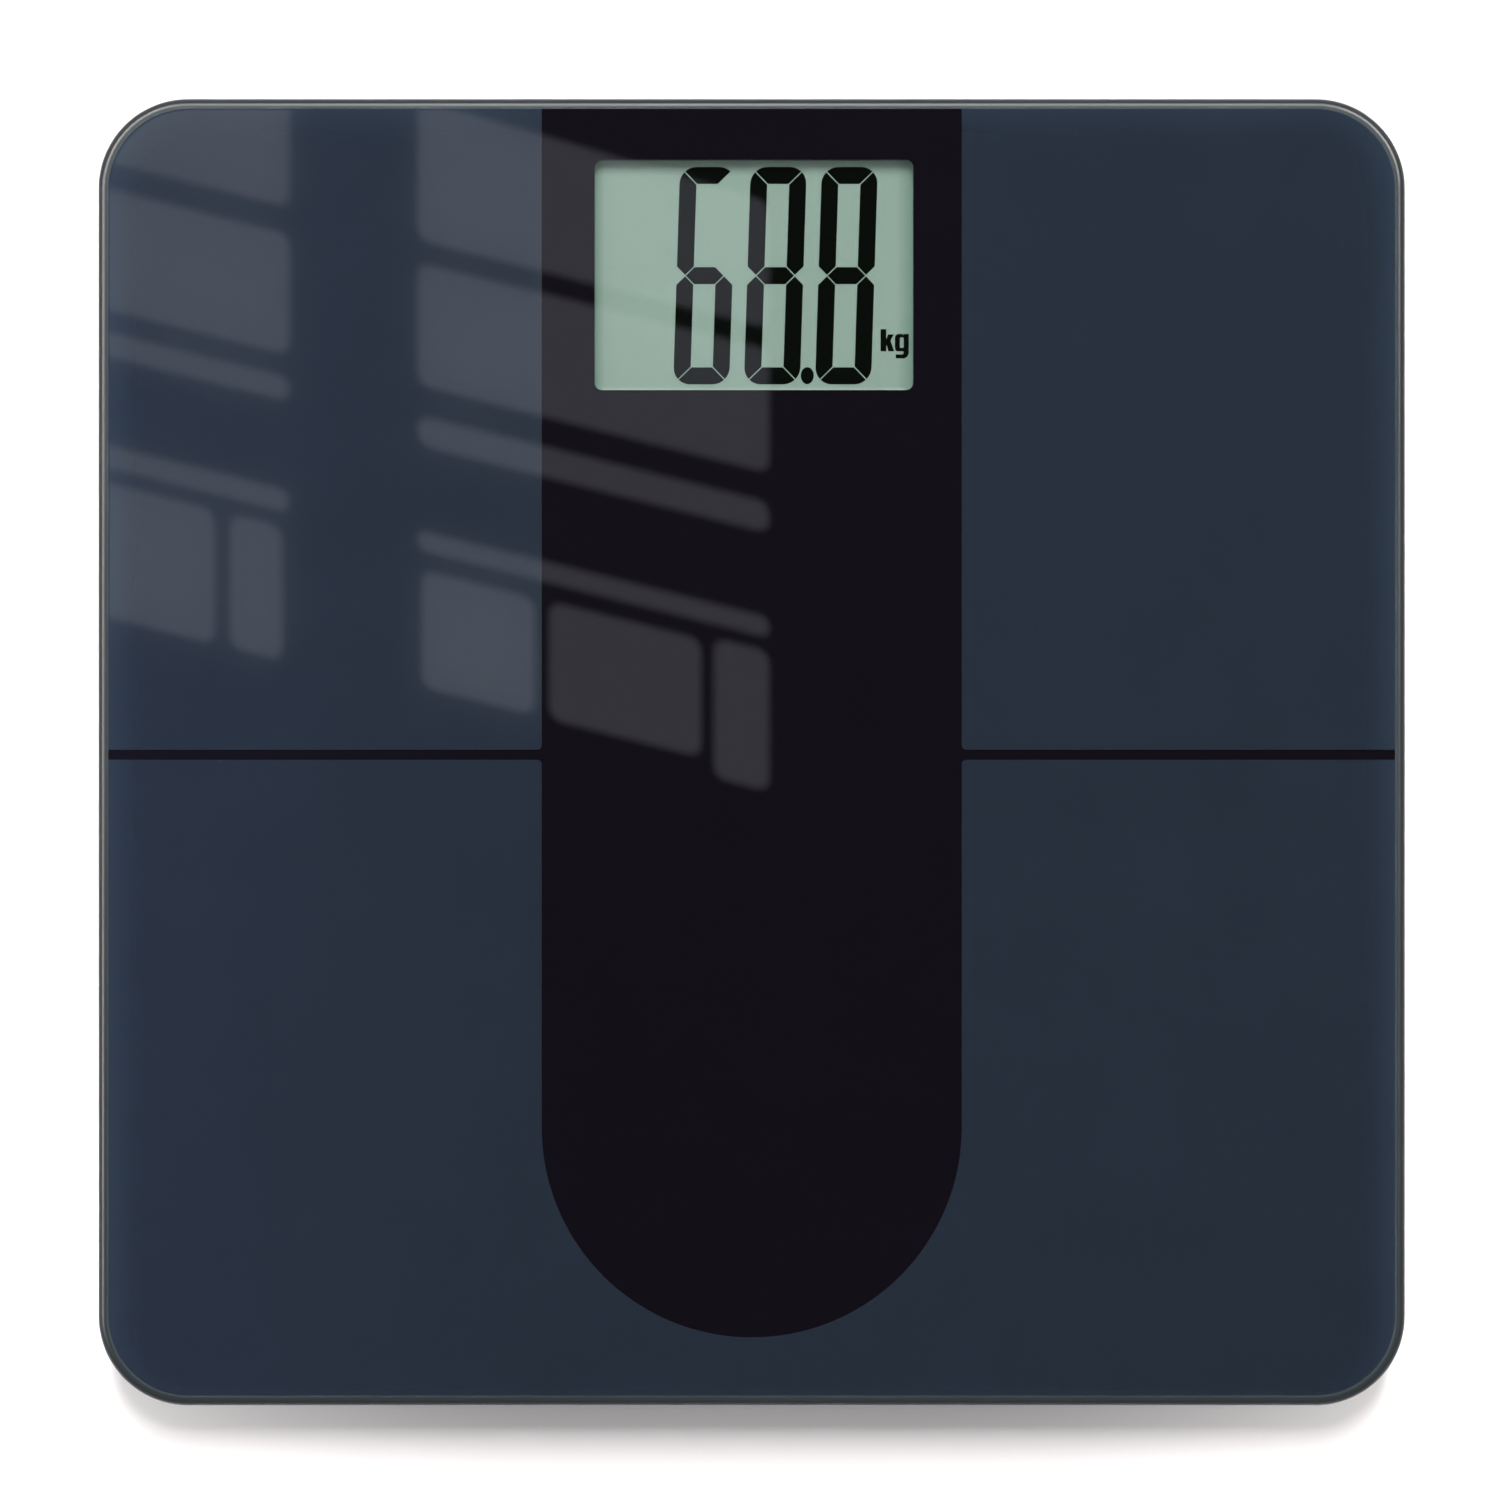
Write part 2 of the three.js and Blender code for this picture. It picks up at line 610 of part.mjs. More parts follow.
function addDisplay() {
  place('display_frame', displayFrame(), 0x191b1e, 0.6);
  place('display_gasket', displayGasket(), 0x121212, 0.95);
  place('lcd_panel', lcdPanel(), 0x91a89c, 0.15);
  place('lcd_backing', lcdBacking(), 0xcfd6d0, 0.7);
  place('zebra_strip', zebraStrip(), 0xc8667c, 0.8);
  place('main_board', mainBoard(), 0x1d5a35, 0.45);
  place('controller_chip', controllerChip(), 0x101010, 0.3);
  place('capacitor', capacitor(), 0xb08b3e, 0.5);
  place('unit_switch_body', switchBody(), 0x3a3c40, 0.5);
  place('unit_switch_plunger', switchPlunger(), 0x151515, 0.5);
  place('unit_button', unitButton(), 0x4a4e55, 0.5);
  BOARD_SCREWS.forEach(([x, y], i) => {
    const seat = BOARD_TOP + FACE_GAP;
    place(`board_screw_${i + 1}`, screw(x, y, seat, 4, 2.4, 1), 0x9a9da1, 0.3, 0.9);
  });
}

// ---------------------------------------------------------------- battery bay

// One AAA cell along X with its positive nub towards `nub` (-1 or 1).
function batteryCell(nub, y) {
  const body = AAA_LENGTH - AAA_NUB;
  const profile = [
    [0, 0], [AAA_R - 0.5, 0], [AAA_R, 0.5], [AAA_R, body - 0.6], [AAA_R - 0.6, body],
    [1.9, body], [1.9, AAA_LENGTH], [0, AAA_LENGTH],
  ];
  const points = profile.map(([radius, height]) => new THREE.Vector2(radius, height));
  const tip = nub * (BAY_HALF_X - 0.7);
  const geometry = new THREE.LatheGeometry(points, 20).rotateZ(nub * -Math.PI / 2);
  return solidOf(geometry.translate(tip - nub * AAA_LENGTH, y, CELL_AXIS_Z));
}

const CONTACT_Z = [FLOOR_TOP + 0.6, 17.8];

function contactPlate(side, y) {
  const x = ordered(side * (BAY_HALF_X - 0.1), side * (BAY_HALF_X - 0.5));
  return block(x, y, CONTACT_Z);
}

// Tab through the wall of the bay, for the lead.
function contactTab(y) {
  return block([-BAY_HALF_X - BAY_WALL - 2.2, -BAY_HALF_X + 0.3], around(y, 1), [15, 15.4]);
}

// A cone-shaped spring that starts in the contact plate and reaches to the cell.
function contactSpring(side, y) {
  const turns = 2.5;
  const steps = 24;
  const length = 2 * (BAY_HALF_X - 0.5) - AAA_LENGTH - 0.3;
  const points = [];
  for (let i = 0; i <= steps; i += 1) {
    const share = i / steps;
    const angle = share * turns * Math.PI * 2;
    const radius = 3.6 - 1.4 * share;
    const x = side * (BAY_HALF_X - 0.3 - length * share);
    points.push([x, y + radius * Math.cos(angle), CELL_AXIS_Z + radius * Math.sin(angle)]);
  }
  return wire(points, 0.3, steps, 5);
}

function batteryLead(row, landX) {
  const y = BAY_Y + (row * AAA_PITCH) / 2;
  const z = BOARD_TOP + FACE_GAP + 0.6;
  const x = -BAY_HALF_X - BAY_WALL - 3.2;
  return wire([
    [x, y, 15.2],
    [x - 2, y + 3, 15],
    [x - 4 + row * 0.8, y + 10, z + 0.6],
    [landX - 1, BOARD_Y[0] - 6, z],
    [landX, BOARD_Y[0] + 2, z],
  ], 0.6, 12);
}

// Door hooked at its low-Y edge, with a catch at the other edge.
function batteryDoor() {
  const [low, high] = around(BAY_Y, BAY_HALF_Y + LEDGE - DOOR_GAP);
  const width = 2 * (BAY_HALF_X + LEDGE - DOOR_GAP);
  const plate = slab(roundedRect(width, high - low, 1.5, 0, BAY_Y), TRAY_Z, DOOR_TOP, 4);
  const hookTop = FLOOR_TOP + 1.1;
  const pieces = [
    plate,
    block(around(0, CATCH_W / 2), [high - 1.5, high - 0.5], [DOOR_TOP - 0.1, FLOOR_TOP + 1.4]),
    block(around(0, CATCH_W / 2), [high - 0.6, high - 0.1], [FLOOR_TOP + 0.3, FLOOR_TOP + 0.9]),
  ];
  for (const hook of HOOK_XS) {
    const x = around(hook, HOOK_W / 2);
    pieces.push(block(x, [low + 0.1, low + 1.3], [DOOR_TOP - 0.1, hookTop]));
    pieces.push(block(x, [low - 2.1, low + 1.3], [FLOOR_TOP + 0.1, hookTop]));
  }
  return wasm.Manifold.union(pieces);
}

function addBattery() {
  const near = BAY_Y - AAA_PITCH / 2;
  const far = BAY_Y + AAA_PITCH / 2;
  const positive = contactPlate(-1, around(near, 4.5)).add(contactTab(near));
  const negative = contactPlate(-1, around(far, 4.5))
    .add(contactTab(far))
    .add(contactSpring(-1, far));
  const bridge = contactPlate(1, [near - 4.5, far + 4.5]).add(contactSpring(1, near));
  place('battery_cell_near', batteryCell(-1, near), 0x2a5f9e, 0.35, 0.3);
  place('battery_cell_far', batteryCell(1, far), 0x2a5f9e, 0.35, 0.3);
  place('battery_contact_positive', positive, 0xc9ccce, 0.25, 1);
  place('battery_contact_negative', negative, 0xc9ccce, 0.25, 1);
  place('battery_contact_bridge', bridge, 0xc9ccce, 0.25, 1);
  place('battery_lead_red', batteryLead(-1, -47), 0xb3211d, 0.5);
  place('battery_lead_black', batteryLead(1, -44), 0x141414, 0.5);
  place('battery_door', batteryDoor(), 0x24262a, 0.6);
}

// ---------------------------------------------------------------- assembly

place('glass_platform', glassPlatform(), 0xd5e6e0, 0.05);
place('print_slate_upper_left', upperSlate(-1), 0x29323e, 0.5);
place('print_slate_upper_right', upperSlate(1), 0x29323e, 0.5);
place('print_slate_lower', lowerSlate(), 0x29323e, 0.5);
place('print_black', blackPrint(), 0x141119, 0.5);
place('mounting_tape', mountingTape(), 0xe4e2dc, 0.9);
place('base_tray', baseTray(), 0x24262a, 0.6);
addFeet();
addDisplay();
addBattery();

export default scale;
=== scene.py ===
# %% [markdown]
# # A glass-topped bathroom scale
#
# The scale is a square of tempered glass with ink printed on its underside, taped to a shallow
# plastic tray. A liquid crystal display looks up through a window in the ink, four sprung feet
# carry the weight, and a battery door and a unit button sit underneath.
#
# The working model arrives as a fixed frame. Many fine pieces below take their place from a box of
# that frame, so they need not be fitted by eye.

# %% Load the frame
import math

import bmesh
import bpy
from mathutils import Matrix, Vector


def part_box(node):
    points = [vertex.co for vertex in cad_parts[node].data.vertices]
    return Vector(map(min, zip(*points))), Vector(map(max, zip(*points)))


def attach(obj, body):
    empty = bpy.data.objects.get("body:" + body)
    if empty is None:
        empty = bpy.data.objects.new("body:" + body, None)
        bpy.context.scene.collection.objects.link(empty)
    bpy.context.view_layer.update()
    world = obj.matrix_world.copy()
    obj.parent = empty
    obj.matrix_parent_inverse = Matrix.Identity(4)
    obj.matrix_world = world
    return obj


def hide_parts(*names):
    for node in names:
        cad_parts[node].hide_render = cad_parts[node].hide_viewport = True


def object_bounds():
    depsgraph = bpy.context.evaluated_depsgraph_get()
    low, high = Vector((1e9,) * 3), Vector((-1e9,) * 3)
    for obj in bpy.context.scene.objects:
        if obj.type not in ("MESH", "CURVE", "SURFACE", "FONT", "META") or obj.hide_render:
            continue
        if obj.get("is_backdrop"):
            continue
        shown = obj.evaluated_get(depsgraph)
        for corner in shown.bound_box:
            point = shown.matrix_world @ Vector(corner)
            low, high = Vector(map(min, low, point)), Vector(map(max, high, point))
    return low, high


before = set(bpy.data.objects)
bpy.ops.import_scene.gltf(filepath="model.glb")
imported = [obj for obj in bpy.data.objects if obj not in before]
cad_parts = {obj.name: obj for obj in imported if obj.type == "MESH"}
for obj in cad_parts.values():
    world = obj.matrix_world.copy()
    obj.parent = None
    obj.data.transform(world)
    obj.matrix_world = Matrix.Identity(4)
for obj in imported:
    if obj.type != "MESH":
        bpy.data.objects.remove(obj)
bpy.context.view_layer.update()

# %% [markdown]
# ## Outlines
#
# Almost every piece of a scale is a flat plate with rounded corners: the glass, the ink, the tray,
# the door. One way to draw them is to bevel a cube, but then the corner radius depends on a
# modifier's settings. An outline made of arcs is exact, and the same function serves all plates.

# %% Arcs and rounded rectangles
MM = 0.001


def arc(x, y, radius, start, end, steps):
    """Points on an arc, with angles in degrees."""
    turns = [math.radians(start + (end - start) * i / steps) for i in range(steps + 1)]
    return [(x + radius * math.cos(a), y + radius * math.sin(a)) for a in turns]


def rounded_rect(width, depth, radius, x=0.0, y=0.0, steps=16):
    """The outline of a plate with rounded corners, anticlockwise from its right side."""
    across, along = width / 2 - radius, depth / 2 - radius
    corners = [(1, 1, 0), (-1, 1, 90), (-1, -1, 180), (1, -1, 270)]
    points = []
    for side, end, start in corners:
        points += arc(x + side * across, y + end * along, radius, start, start + 90, steps)
    return points


print("a plate outline has", len(rounded_rect(1, 1, 0.1)), "points")

# %% [markdown]
# ## Two ways to turn an outline into a solid
#
# A plate whose edge is rounded over is built as a stack of outlines, each a little further in than
# the one below, with faces between them. That keeps the large faces dead flat, which matters on
# glass: one bent normal would bend every reflection.
#
# A thin sheet with a hole in it, such as ink with a display window, is simpler as a filled 2-D
# curve, because Blender's curve fill understands holes.

# %% Stacked outlines
SMOOTH_BELOW = math.radians(35)


def finish_mesh(name, mesh, body, replaces=()):
    """Links a mesh as a piece that rides on a body and stands for CAD nodes."""
    piece = bpy.data.objects.new(name, mesh)
    bpy.context.scene.collection.objects.link(piece)
    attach(piece, body)
    if replaces:
        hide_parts(*replaces)
    return piece


def stacked_mesh(name, rings):
    """A closed skin through rings of equally many points, each ring a list of (x, y, z)."""
    build = bmesh.new()
    loops = [[build.verts.new(point) for point in ring] for ring in rings]
    count = len(loops[0])
    for low, high in zip(loops, loops[1:]):
        for i in range(count):
            j = (i + 1) % count
            build.faces.new((low[i], low[j], high[j], high[i])).smooth = True
    build.faces.new(list(reversed(loops[0])))
    build.faces.new(loops[-1])
    bmesh.ops.recalc_face_normals(build, faces=build.faces)
    mesh = bpy.data.meshes.new(name)
    build.to_mesh(mesh)
    build.free()
    return mesh


def plate_rings(width, depth, radius, profile, x=0.0, y=0.0, steps=16):
    """Rings of a rounded plate; the profile lists (distance in from the outline, height)."""
    rings = []
    for inset, height in profile:
        outline = rounded_rect(width - 2 * inset, depth - 2 * inset, radius - inset, x, y, steps)
        rings.append([(px, py, height) for px, py in outline])
    return rings


def rounded_edge(low, high, bottom_radius, top_radius, steps=8):
    """The edge profile of a plate: rounded over below and above, straight between."""
    profile = []
    for i in range(steps + 1):
        a = math.radians(90 * i / steps)
        profile.append((bottom_radius * (1 - math.sin(a)), low + bottom_radius * (1 - math.cos(a))))
    for i in range(steps + 1):
        a = math.radians(90 * i / steps)
        profile.append((top_radius * (1 - math.cos(a)), high - top_radius * (1 - math.sin(a))))
    return profile


print("an edge profile has", len(rounded_edge(0, 1, 0.1, 0.1)), "levels")

# %% Filled sheets with holes
WELD = 1e-7


def sheet_mesh(name, outlines, low, high, edge=0.0):
    """A flat sheet between two heights. The first outline is its rim and the others are holes."""
    curve = bpy.data.curves.new(name, "CURVE")
    curve.dimensions = "2D"
    curve.fill_mode = "BOTH"
    curve.extrude = (high - low) / 2 - edge
    curve.bevel_depth = edge
    curve.bevel_resolution = 3
    curve.offset = -edge
    for outline in outlines:
        spline = curve.splines.new("POLY")
        spline.points.add(len(outline) - 1)
        for point, (x, y) in zip(spline.points, outline):
            point.co = (x, y, 0, 1)
        spline.use_cyclic_u = True
    holder = bpy.data.objects.new(name, curve)
    bpy.context.scene.collection.objects.link(holder)
    bpy.context.view_layer.update()
    evaluated = holder.evaluated_get(bpy.context.evaluated_depsgraph_get())
    mesh = bpy.data.meshes.new_from_object(evaluated)
    bpy.data.objects.remove(holder)
    bpy.data.curves.remove(curve)
    mesh.name = name
    build = bmesh.new()
    build.from_mesh(mesh)
    bmesh.ops.translate(build, verts=build.verts, vec=(0, 0, (low + high) / 2))
    bmesh.ops.remove_doubles(build, verts=build.verts, dist=WELD)
    bmesh.ops.recalc_face_normals(build, faces=build.faces)
    build.to_mesh(mesh)
    build.free()
    mesh.polygons.foreach_set("use_smooth", [True] * len(mesh.polygons))
    mesh.set_sharp_from_angle(angle=SMOOTH_BELOW)
    return mesh


print("sheets are welded, so each is one closed skin")

# %% [markdown]
# ## Turned pieces
#
# Foot pads and foot cups are round, so they are turned: a half section spun about an upright axis,
# as on a lathe. The Screw modifier could spin the section too. Building the rings directly lets a
# groove or a rounded edge be a few more points of the section.

# %% Turn a section
TURNED_SIDES = 96


def turned_mesh(name, section, x, y, sides=TURNED_SIDES):
    """Spins a section of (radius, height), which starts and ends on the axis."""
    build = bmesh.new()
    rings = []
    for radius, height in section:
        if radius == 0:
            rings.append([build.verts.new((x, y, height))])
            continue
        angles = [2 * math.pi * i / sides for i in range(sides)]
        rings.append([
            build.verts.new((x + radius * math.cos(a), y + radius * math.sin(a), height))
            for a in angles
        ])
    for low, high in zip(rings, rings[1:]):
        for i in range(sides):
            j = (i + 1) % sides
            corners = [low[i % len(low)], low[j % len(low)], high[j % len(high)], high[i % len(high)]]
            unique = list(dict.fromkeys(corners))
            if len(unique) > 2:
                build.faces.new(unique).smooth = True
    bmesh.ops.recalc_face_normals(build, faces=build.faces)
    mesh = bpy.data.meshes.new(name)
    build.to_mesh(mesh)
    build.free()
    mesh.set_sharp_from_angle(angle=SMOOTH_BELOW)
    return mesh


print("turned pieces have", TURNED_SIDES, "sides")

# %% [markdown]
# ## Finishes
#
# Real plastic and rubber are never one flat colour. Moulded plastic has a fine spark-eroded grain
# and its gloss drifts where the melt cooled; rubber is dull and holds dust; steel shows the
# direction it was rolled in. Each finish is a small node tree driven by noise in the piece's own
# coordinates, so it needs no unwrapping and moves with the piece.

# %% Node helpers
MIX_FIRST, MIX_SECOND, MIX_RESULT = 6, 7, 2  # the colour sockets of a Mix node


def start_material(name):
    """A new material, with the parts of its node tree that every finish needs."""
    material = bpy.data.materials.new(name)
    material.use_nodes = True
    nodes, links = material.node_tree.nodes, material.node_tree.links
    where = nodes.new("ShaderNodeTexCoord").outputs["Object"]
    return material, nodes, links, nodes["Principled BSDF"], where


def noise(nodes, links, where, size, detail=3.0, stretch=(1, 1, 1)):
    """Noise whose patches are about `size` metres across."""
    mapping = nodes.new("ShaderNodeMapping")
    mapping.inputs["Scale"].default_value = stretch
    texture = nodes.new("ShaderNodeTexNoise")
    texture.inputs["Scale"].default_value = 1 / size
    texture.inputs["Detail"].default_value = detail
    links.new(where, mapping.inputs["Vector"])
    links.new(mapping.outputs["Vector"], texture.inputs["Vector"])
    return texture.outputs["Fac"]


def ranged(nodes, links, value, low, high, source=(0.3, 0.7)):
    """Spreads a value over a new range."""
    node = nodes.new("ShaderNodeMapRange")
    node.inputs["From Min"].default_value, node.inputs["From Max"].default_value = source
    node.inputs["To Min"].default_value = low
    node.inputs["To Max"].default_value = high
    links.new(value, node.inputs["Value"])
    return node.outputs["Result"]


def mixed(nodes, links, factor, first, second):
    """A colour between two others, which are colours or outputs."""
    node = nodes.new("ShaderNodeMix")
    node.data_type = "RGBA"
    links.new(factor, node.inputs["Factor"])
    for socket, value in ((node.inputs[MIX_FIRST], first), (node.inputs[MIX_SECOND], second)):
        if isinstance(value, tuple):
            socket.default_value = (*value, 1)
        else:
            links.new(value, socket)
    return node.outputs[MIX_RESULT]


def bumped(nodes, links, shader, height, distance):
    """Turns a height into relief that is `distance` metres deep."""
    node = nodes.new("ShaderNodeBump")
    node.inputs["Distance"].default_value = distance
    links.new(height, node.inputs["Height"])
    links.new(node.outputs["Normal"], shader.inputs["Normal"])


def shade(colour, factor):
    return tuple(channel * factor for channel in colour)


print("node helpers ready")

# %% Plastics, rubbers and metals
def moulded(name, colour, roughness, grain=0.0004, depth=0.00002, drift=0.12, specular=0.5):
    """Moulded plastic, rubber or resin with a fine grain and a slow drift of colour and gloss."""
    material, nodes, links, shader, where = start_material(name)
    broad = noise(nodes, links, where, 0.03, 4)
    tint = ranged(nodes, links, broad, 0, 1)
    colours = mixed(nodes, links, tint, shade(colour, 1 - drift), shade(colour, 1 + drift))
    links.new(colours, shader.inputs["Base Color"])
    fine = noise(nodes, links, where, grain, 2)
    gloss = ranged(nodes, links, broad, roughness * 0.88, min(1.0, roughness * 1.12))
    links.new(gloss, shader.inputs["Roughness"])
    bumped(nodes, links, shader, fine, depth)
    shader.inputs["Specular IOR Level"].default_value = specular
    return material


def rolled(name, colour, roughness, stretch=(1, 14, 1), depth=0.000006):
    """Sheet metal with the fine lines of rolling or plating."""
    material, nodes, links, shader, where = start_material(name)
    lines = noise(nodes, links, where, 0.0006, 3, stretch)
    stains = noise(nodes, links, where, 0.008, 4)
    colours = mixed(nodes, links, ranged(nodes, links, stains, 0, 1), shade(colour, 0.82), colour)
    links.new(colours, shader.inputs["Base Color"])
    links.new(ranged(nodes, links, lines, roughness * 0.7, roughness * 1.4), shader.inputs["Roughness"])
    bumped(nodes, links, shader, lines, depth)
    shader.inputs["Metallic"].default_value = 1.0
    return material


TRAY_GREY = (0.020, 0.022, 0.026)
tray_plastic = moulded("tray_plastic_grained", TRAY_GREY, 0.52, 0.0005, 0.00004)
shell_plastic = moulded("shell_plastic_satin", shade(TRAY_GREY, 1.15), 0.40, 0.0003, 0.00001)
door_plastic = moulded("door_plastic_grained", shade(TRAY_GREY, 1.1), 0.50, 0.0005, 0.00004)
button_plastic = moulded("button_plastic_satin", (0.075, 0.082, 0.095), 0.38, 0.0003, 0.00001)
frame_plastic = moulded("frame_plastic_black", (0.010, 0.011, 0.012), 0.55, 0.0003, 0.00001)
bracket_plastic = moulded("bracket_plastic_grey", (0.035, 0.038, 0.043), 0.45)
switch_plastic = moulded("switch_plastic_nylon", (0.045, 0.047, 0.050), 0.5)
foot_rubber = moulded("foot_rubber_dull", (0.013, 0.013, 0.014), 0.82, 0.0006, 0.00005, 0.25, 0.35)
gasket_foam = moulded("gasket_foam_open", (0.008, 0.008, 0.008), 0.95, 0.0005, 0.00015, 0.2, 0.2)
tape_foam = moulded("tape_foam_white", (0.72, 0.71, 0.67), 0.9, 0.0005, 0.00010, 0.05, 0.3)
chip_resin = moulded("chip_resin_black", (0.008, 0.008, 0.008), 0.28, 0.002, 0.00006)
gauge_film = moulded("gauge_film_amber", (0.55, 0.33, 0.10), 0.35)
reflector = moulded("reflector_white", (0.66, 0.70, 0.67), 0.6)
zebra_rubber = moulded("zebra_rubber_pink", (0.55, 0.14, 0.18), 0.7)
sleeve_white = moulded("sleeve_white", (0.68, 0.68, 0.65), 0.5)
sleeve_red = moulded("sleeve_red", (0.46, 0.018, 0.014), 0.42)
sleeve_black = moulded("sleeve_black", (0.010, 0.010, 0.010), 0.45)
ceramic_tan = moulded("ceramic_tan", (0.42, 0.26, 0.08), 0.45)
cell_steel = rolled("cell_steel_plated", (0.58, 0.59, 0.60), 0.30)
screw_steel = rolled("screw_steel_zinc", (0.60, 0.61, 0.62), 0.26, (1, 1, 1))
contact_nickel = rolled("contact_nickel_spring", (0.66, 0.64, 0.60), 0.22, (1, 1, 8))
print("finishes:", len(bpy.data.materials))

# %% [markdown]
# The printed circuit and the battery sleeves need a pattern of their own. Copper tracks show
# through green lacquer as slightly lighter lines, which a brick texture gives without drawing any
# circuit. A battery's sleeve has a plain coloured barrel and a bare, brighter positive end.

# %% Circuit lacquer and battery sleeve
TRACKS_PER_METRE = 160
CELL_LENGTH = 44.5 * MM
BARE_STEEL = (0.62, 0.61, 0.58)
SLEEVE_BANDS = [(0.035, (0.52, 0.33, 0.09)), (0.24, (0.018, 0.055, 0.19)), (0.97, BARE_STEEL)]


def circuit_lacquer():
    material, nodes, links, shader, where = start_material("board_lacquer_green")
    brick = nodes.new("ShaderNodeTexBrick")
    brick.inputs["Scale"].default_value = TRACKS_PER_METRE
    brick.inputs["Mortar Size"].default_value = 0.035
    brick.inputs["Color1"].default_value = (0.010, 0.085, 0.030, 1)
    brick.inputs["Color2"].default_value = (0.014, 0.105, 0.038, 1)
    brick.inputs["Mortar"].default_value = (0.035, 0.19, 0.07, 1)
    links.new(where, brick.inputs["Vector"])
    cloud = noise(nodes, links, where, 0.01, 3)
    colours = mixed(nodes, links, ranged(nodes, links, cloud, 0, 0.5), brick.outputs["Color"],
                    (0.008, 0.07, 0.025))
    links.new(colours, shader.inputs["Base Color"])
    links.new(ranged(nodes, links, cloud, 0.25, 0.4), shader.inputs["Roughness"])
    bumped(nodes, links, shader, brick.outputs["Fac"], 0.00003)
    shader.inputs["Coat Weight"].default_value = 0.5
    return material


def battery_sleeve(name, node, towards):
    """A blue sleeve with a gold band and bare steel at the positive end, which faces `towards`."""
    low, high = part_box(node)
    tip = high.x if towards > 0 else low.x
    material, nodes, links, shader, where = start_material(name)
    split = nodes.new("ShaderNodeSeparateXYZ")
    links.new(where, split.inputs["Vector"])
    from_tip = ranged(nodes, links, split.outputs["X"], 0, 1, (tip, tip - towards * CELL_LENGTH))
    ramp = nodes.new("ShaderNodeValToRGB")
    ramp.color_ramp.interpolation = "CONSTANT"
    ramp.color_ramp.elements[0].color = (*BARE_STEEL, 1)
    for place, colour in SLEEVE_BANDS:
        ramp.color_ramp.elements.new(place).color = (*colour, 1)
    ramp.color_ramp.elements[-1].color = (*BARE_STEEL, 1)
    links.new(from_tip, ramp.inputs["Fac"])
    scuffs = noise(nodes, links, where, 0.004, 4)
    colours = mixed(nodes, links, ranged(nodes, links, scuffs, 0, 0.2), ramp.outputs["Color"],
                    (0.3, 0.3, 0.3))
    links.new(colours, shader.inputs["Base Color"])
    links.new(ranged(nodes, links, scuffs, 0.22, 0.4), shader.inputs["Roughness"])
    shader.inputs["Metallic"].default_value = 0.55
    return material


board_lacquer = circuit_lacquer()
sleeve_near = battery_sleeve("battery_sleeve_near", "battery_cell_near", -1)
sleeve_far = battery_sleeve("battery_sleeve_far", "battery_cell_far", 1)
print("patterned finishes ready")

# %% [markdown]
# ## The glass platform
#
# The platform is 6 mm float glass, cut, ground to a soft edge, polished and tempered. Seen from
# above, the ground edge gathers light into thin bright and dark lines. Those lines come from the
# shape alone, so the edge is built as a true quarter round above and below, in fine steps.
#
# A ray tracer would treat the glass as a blocker of light for the ink below it. For shadow rays and
# diffuse rays the material therefore turns transparent, which is the usual trick for a window pane.
# The rim outside the ink is a second, darker and duller glass: a ground edge scatters the light that
# a flat face lets through.

# %% Glass
glass_low, glass_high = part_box("glass_platform")
SIDE = glass_high.x - glass_low.x
CORNER_R = 20.5 * MM
TOP_EDGE_R, LOW_EDGE_R = 1.9 * MM, 1.3 * MM
RIM = 2.05 * MM
CLEAR_TINT = (0.90, 0.965, 0.945)
RIM_TINT = (0.021, 0.030, 0.035)
RIM_FINISH = (0.34, 0.09, 0.34)  # roughness, specular, clear share
GLASS_IOR = 1.52


def clear_glass(name, tint, roughness=0.012, specular=0.5, clear=1.0):
    """Glass that lets shadow rays and diffuse rays through; `clear` is the share that it refracts."""
    material, nodes, links, shader, where = start_material(name)
    shader.inputs["Base Color"].default_value = (*tint, 1)
    shader.inputs["Transmission Weight"].default_value = clear
    shader.inputs["IOR"].default_value = GLASS_IOR
    shader.inputs["Specular IOR Level"].default_value = specular
    smears = noise(nodes, links, where, 0.05, 4)
    links.new(ranged(nodes, links, smears, 0.85 * roughness, roughness), shader.inputs["Roughness"])
    through = nodes.new("ShaderNodeBsdfTransparent")
    path = nodes.new("ShaderNodeLightPath")
    either = nodes.new("ShaderNodeMath")
    either.operation = "MAXIMUM"
    links.new(path.outputs["Is Shadow Ray"], either.inputs[0])
    links.new(path.outputs["Is Diffuse Ray"], either.inputs[1])
    mix = nodes.new("ShaderNodeMixShader")
    links.new(either.outputs["Value"], mix.inputs["Fac"])
    links.new(shader.outputs["BSDF"], mix.inputs[1])
    links.new(through.outputs["BSDF"], mix.inputs[2])
    links.new(mix.outputs["Shader"], nodes["Material Output"].inputs["Surface"])
    return material


edge_profile = rounded_edge(glass_low.z, glass_high.z, LOW_EDGE_R, TOP_EDGE_R)
edge_profile = [(RIM, glass_low.z)] + edge_profile + [(RIM, glass_high.z)]
glass_rings = plate_rings(SIDE, SIDE, CORNER_R, edge_profile, steps=32)
glass_mesh = stacked_mesh("platform_glass", glass_rings)
platform = finish_mesh("platform_glass", glass_mesh, "root", ["glass_platform"])
platform.data.materials.append(clear_glass("float_glass_green", CLEAR_TINT))
platform.data.materials.append(clear_glass("float_glass_edge", RIM_TINT, *RIM_FINISH))
for face in platform.data.polygons:
    face.material_index = 1 if len(face.vertices) == 4 else 0
    face.use_smooth = len(face.vertices) == 4
print("glass:", round(SIDE * 1000), "mm square,",
      round((glass_high.z - glass_low.z) * 1000, 1), "mm thick")

# %% [markdown]
# ## Ink under the glass
#
# The colour of the platform is ink, screen-printed on the glass from below: first the slate blue
# fields, then a black sheet behind them. Where slate is missing, black shows: a broad tongue with a
# round end, and a thin line across the middle. The ink could be one plane with a painted mask, but
# real layers give crisp edges at any distance, and each layer is a piece that can be recoloured.

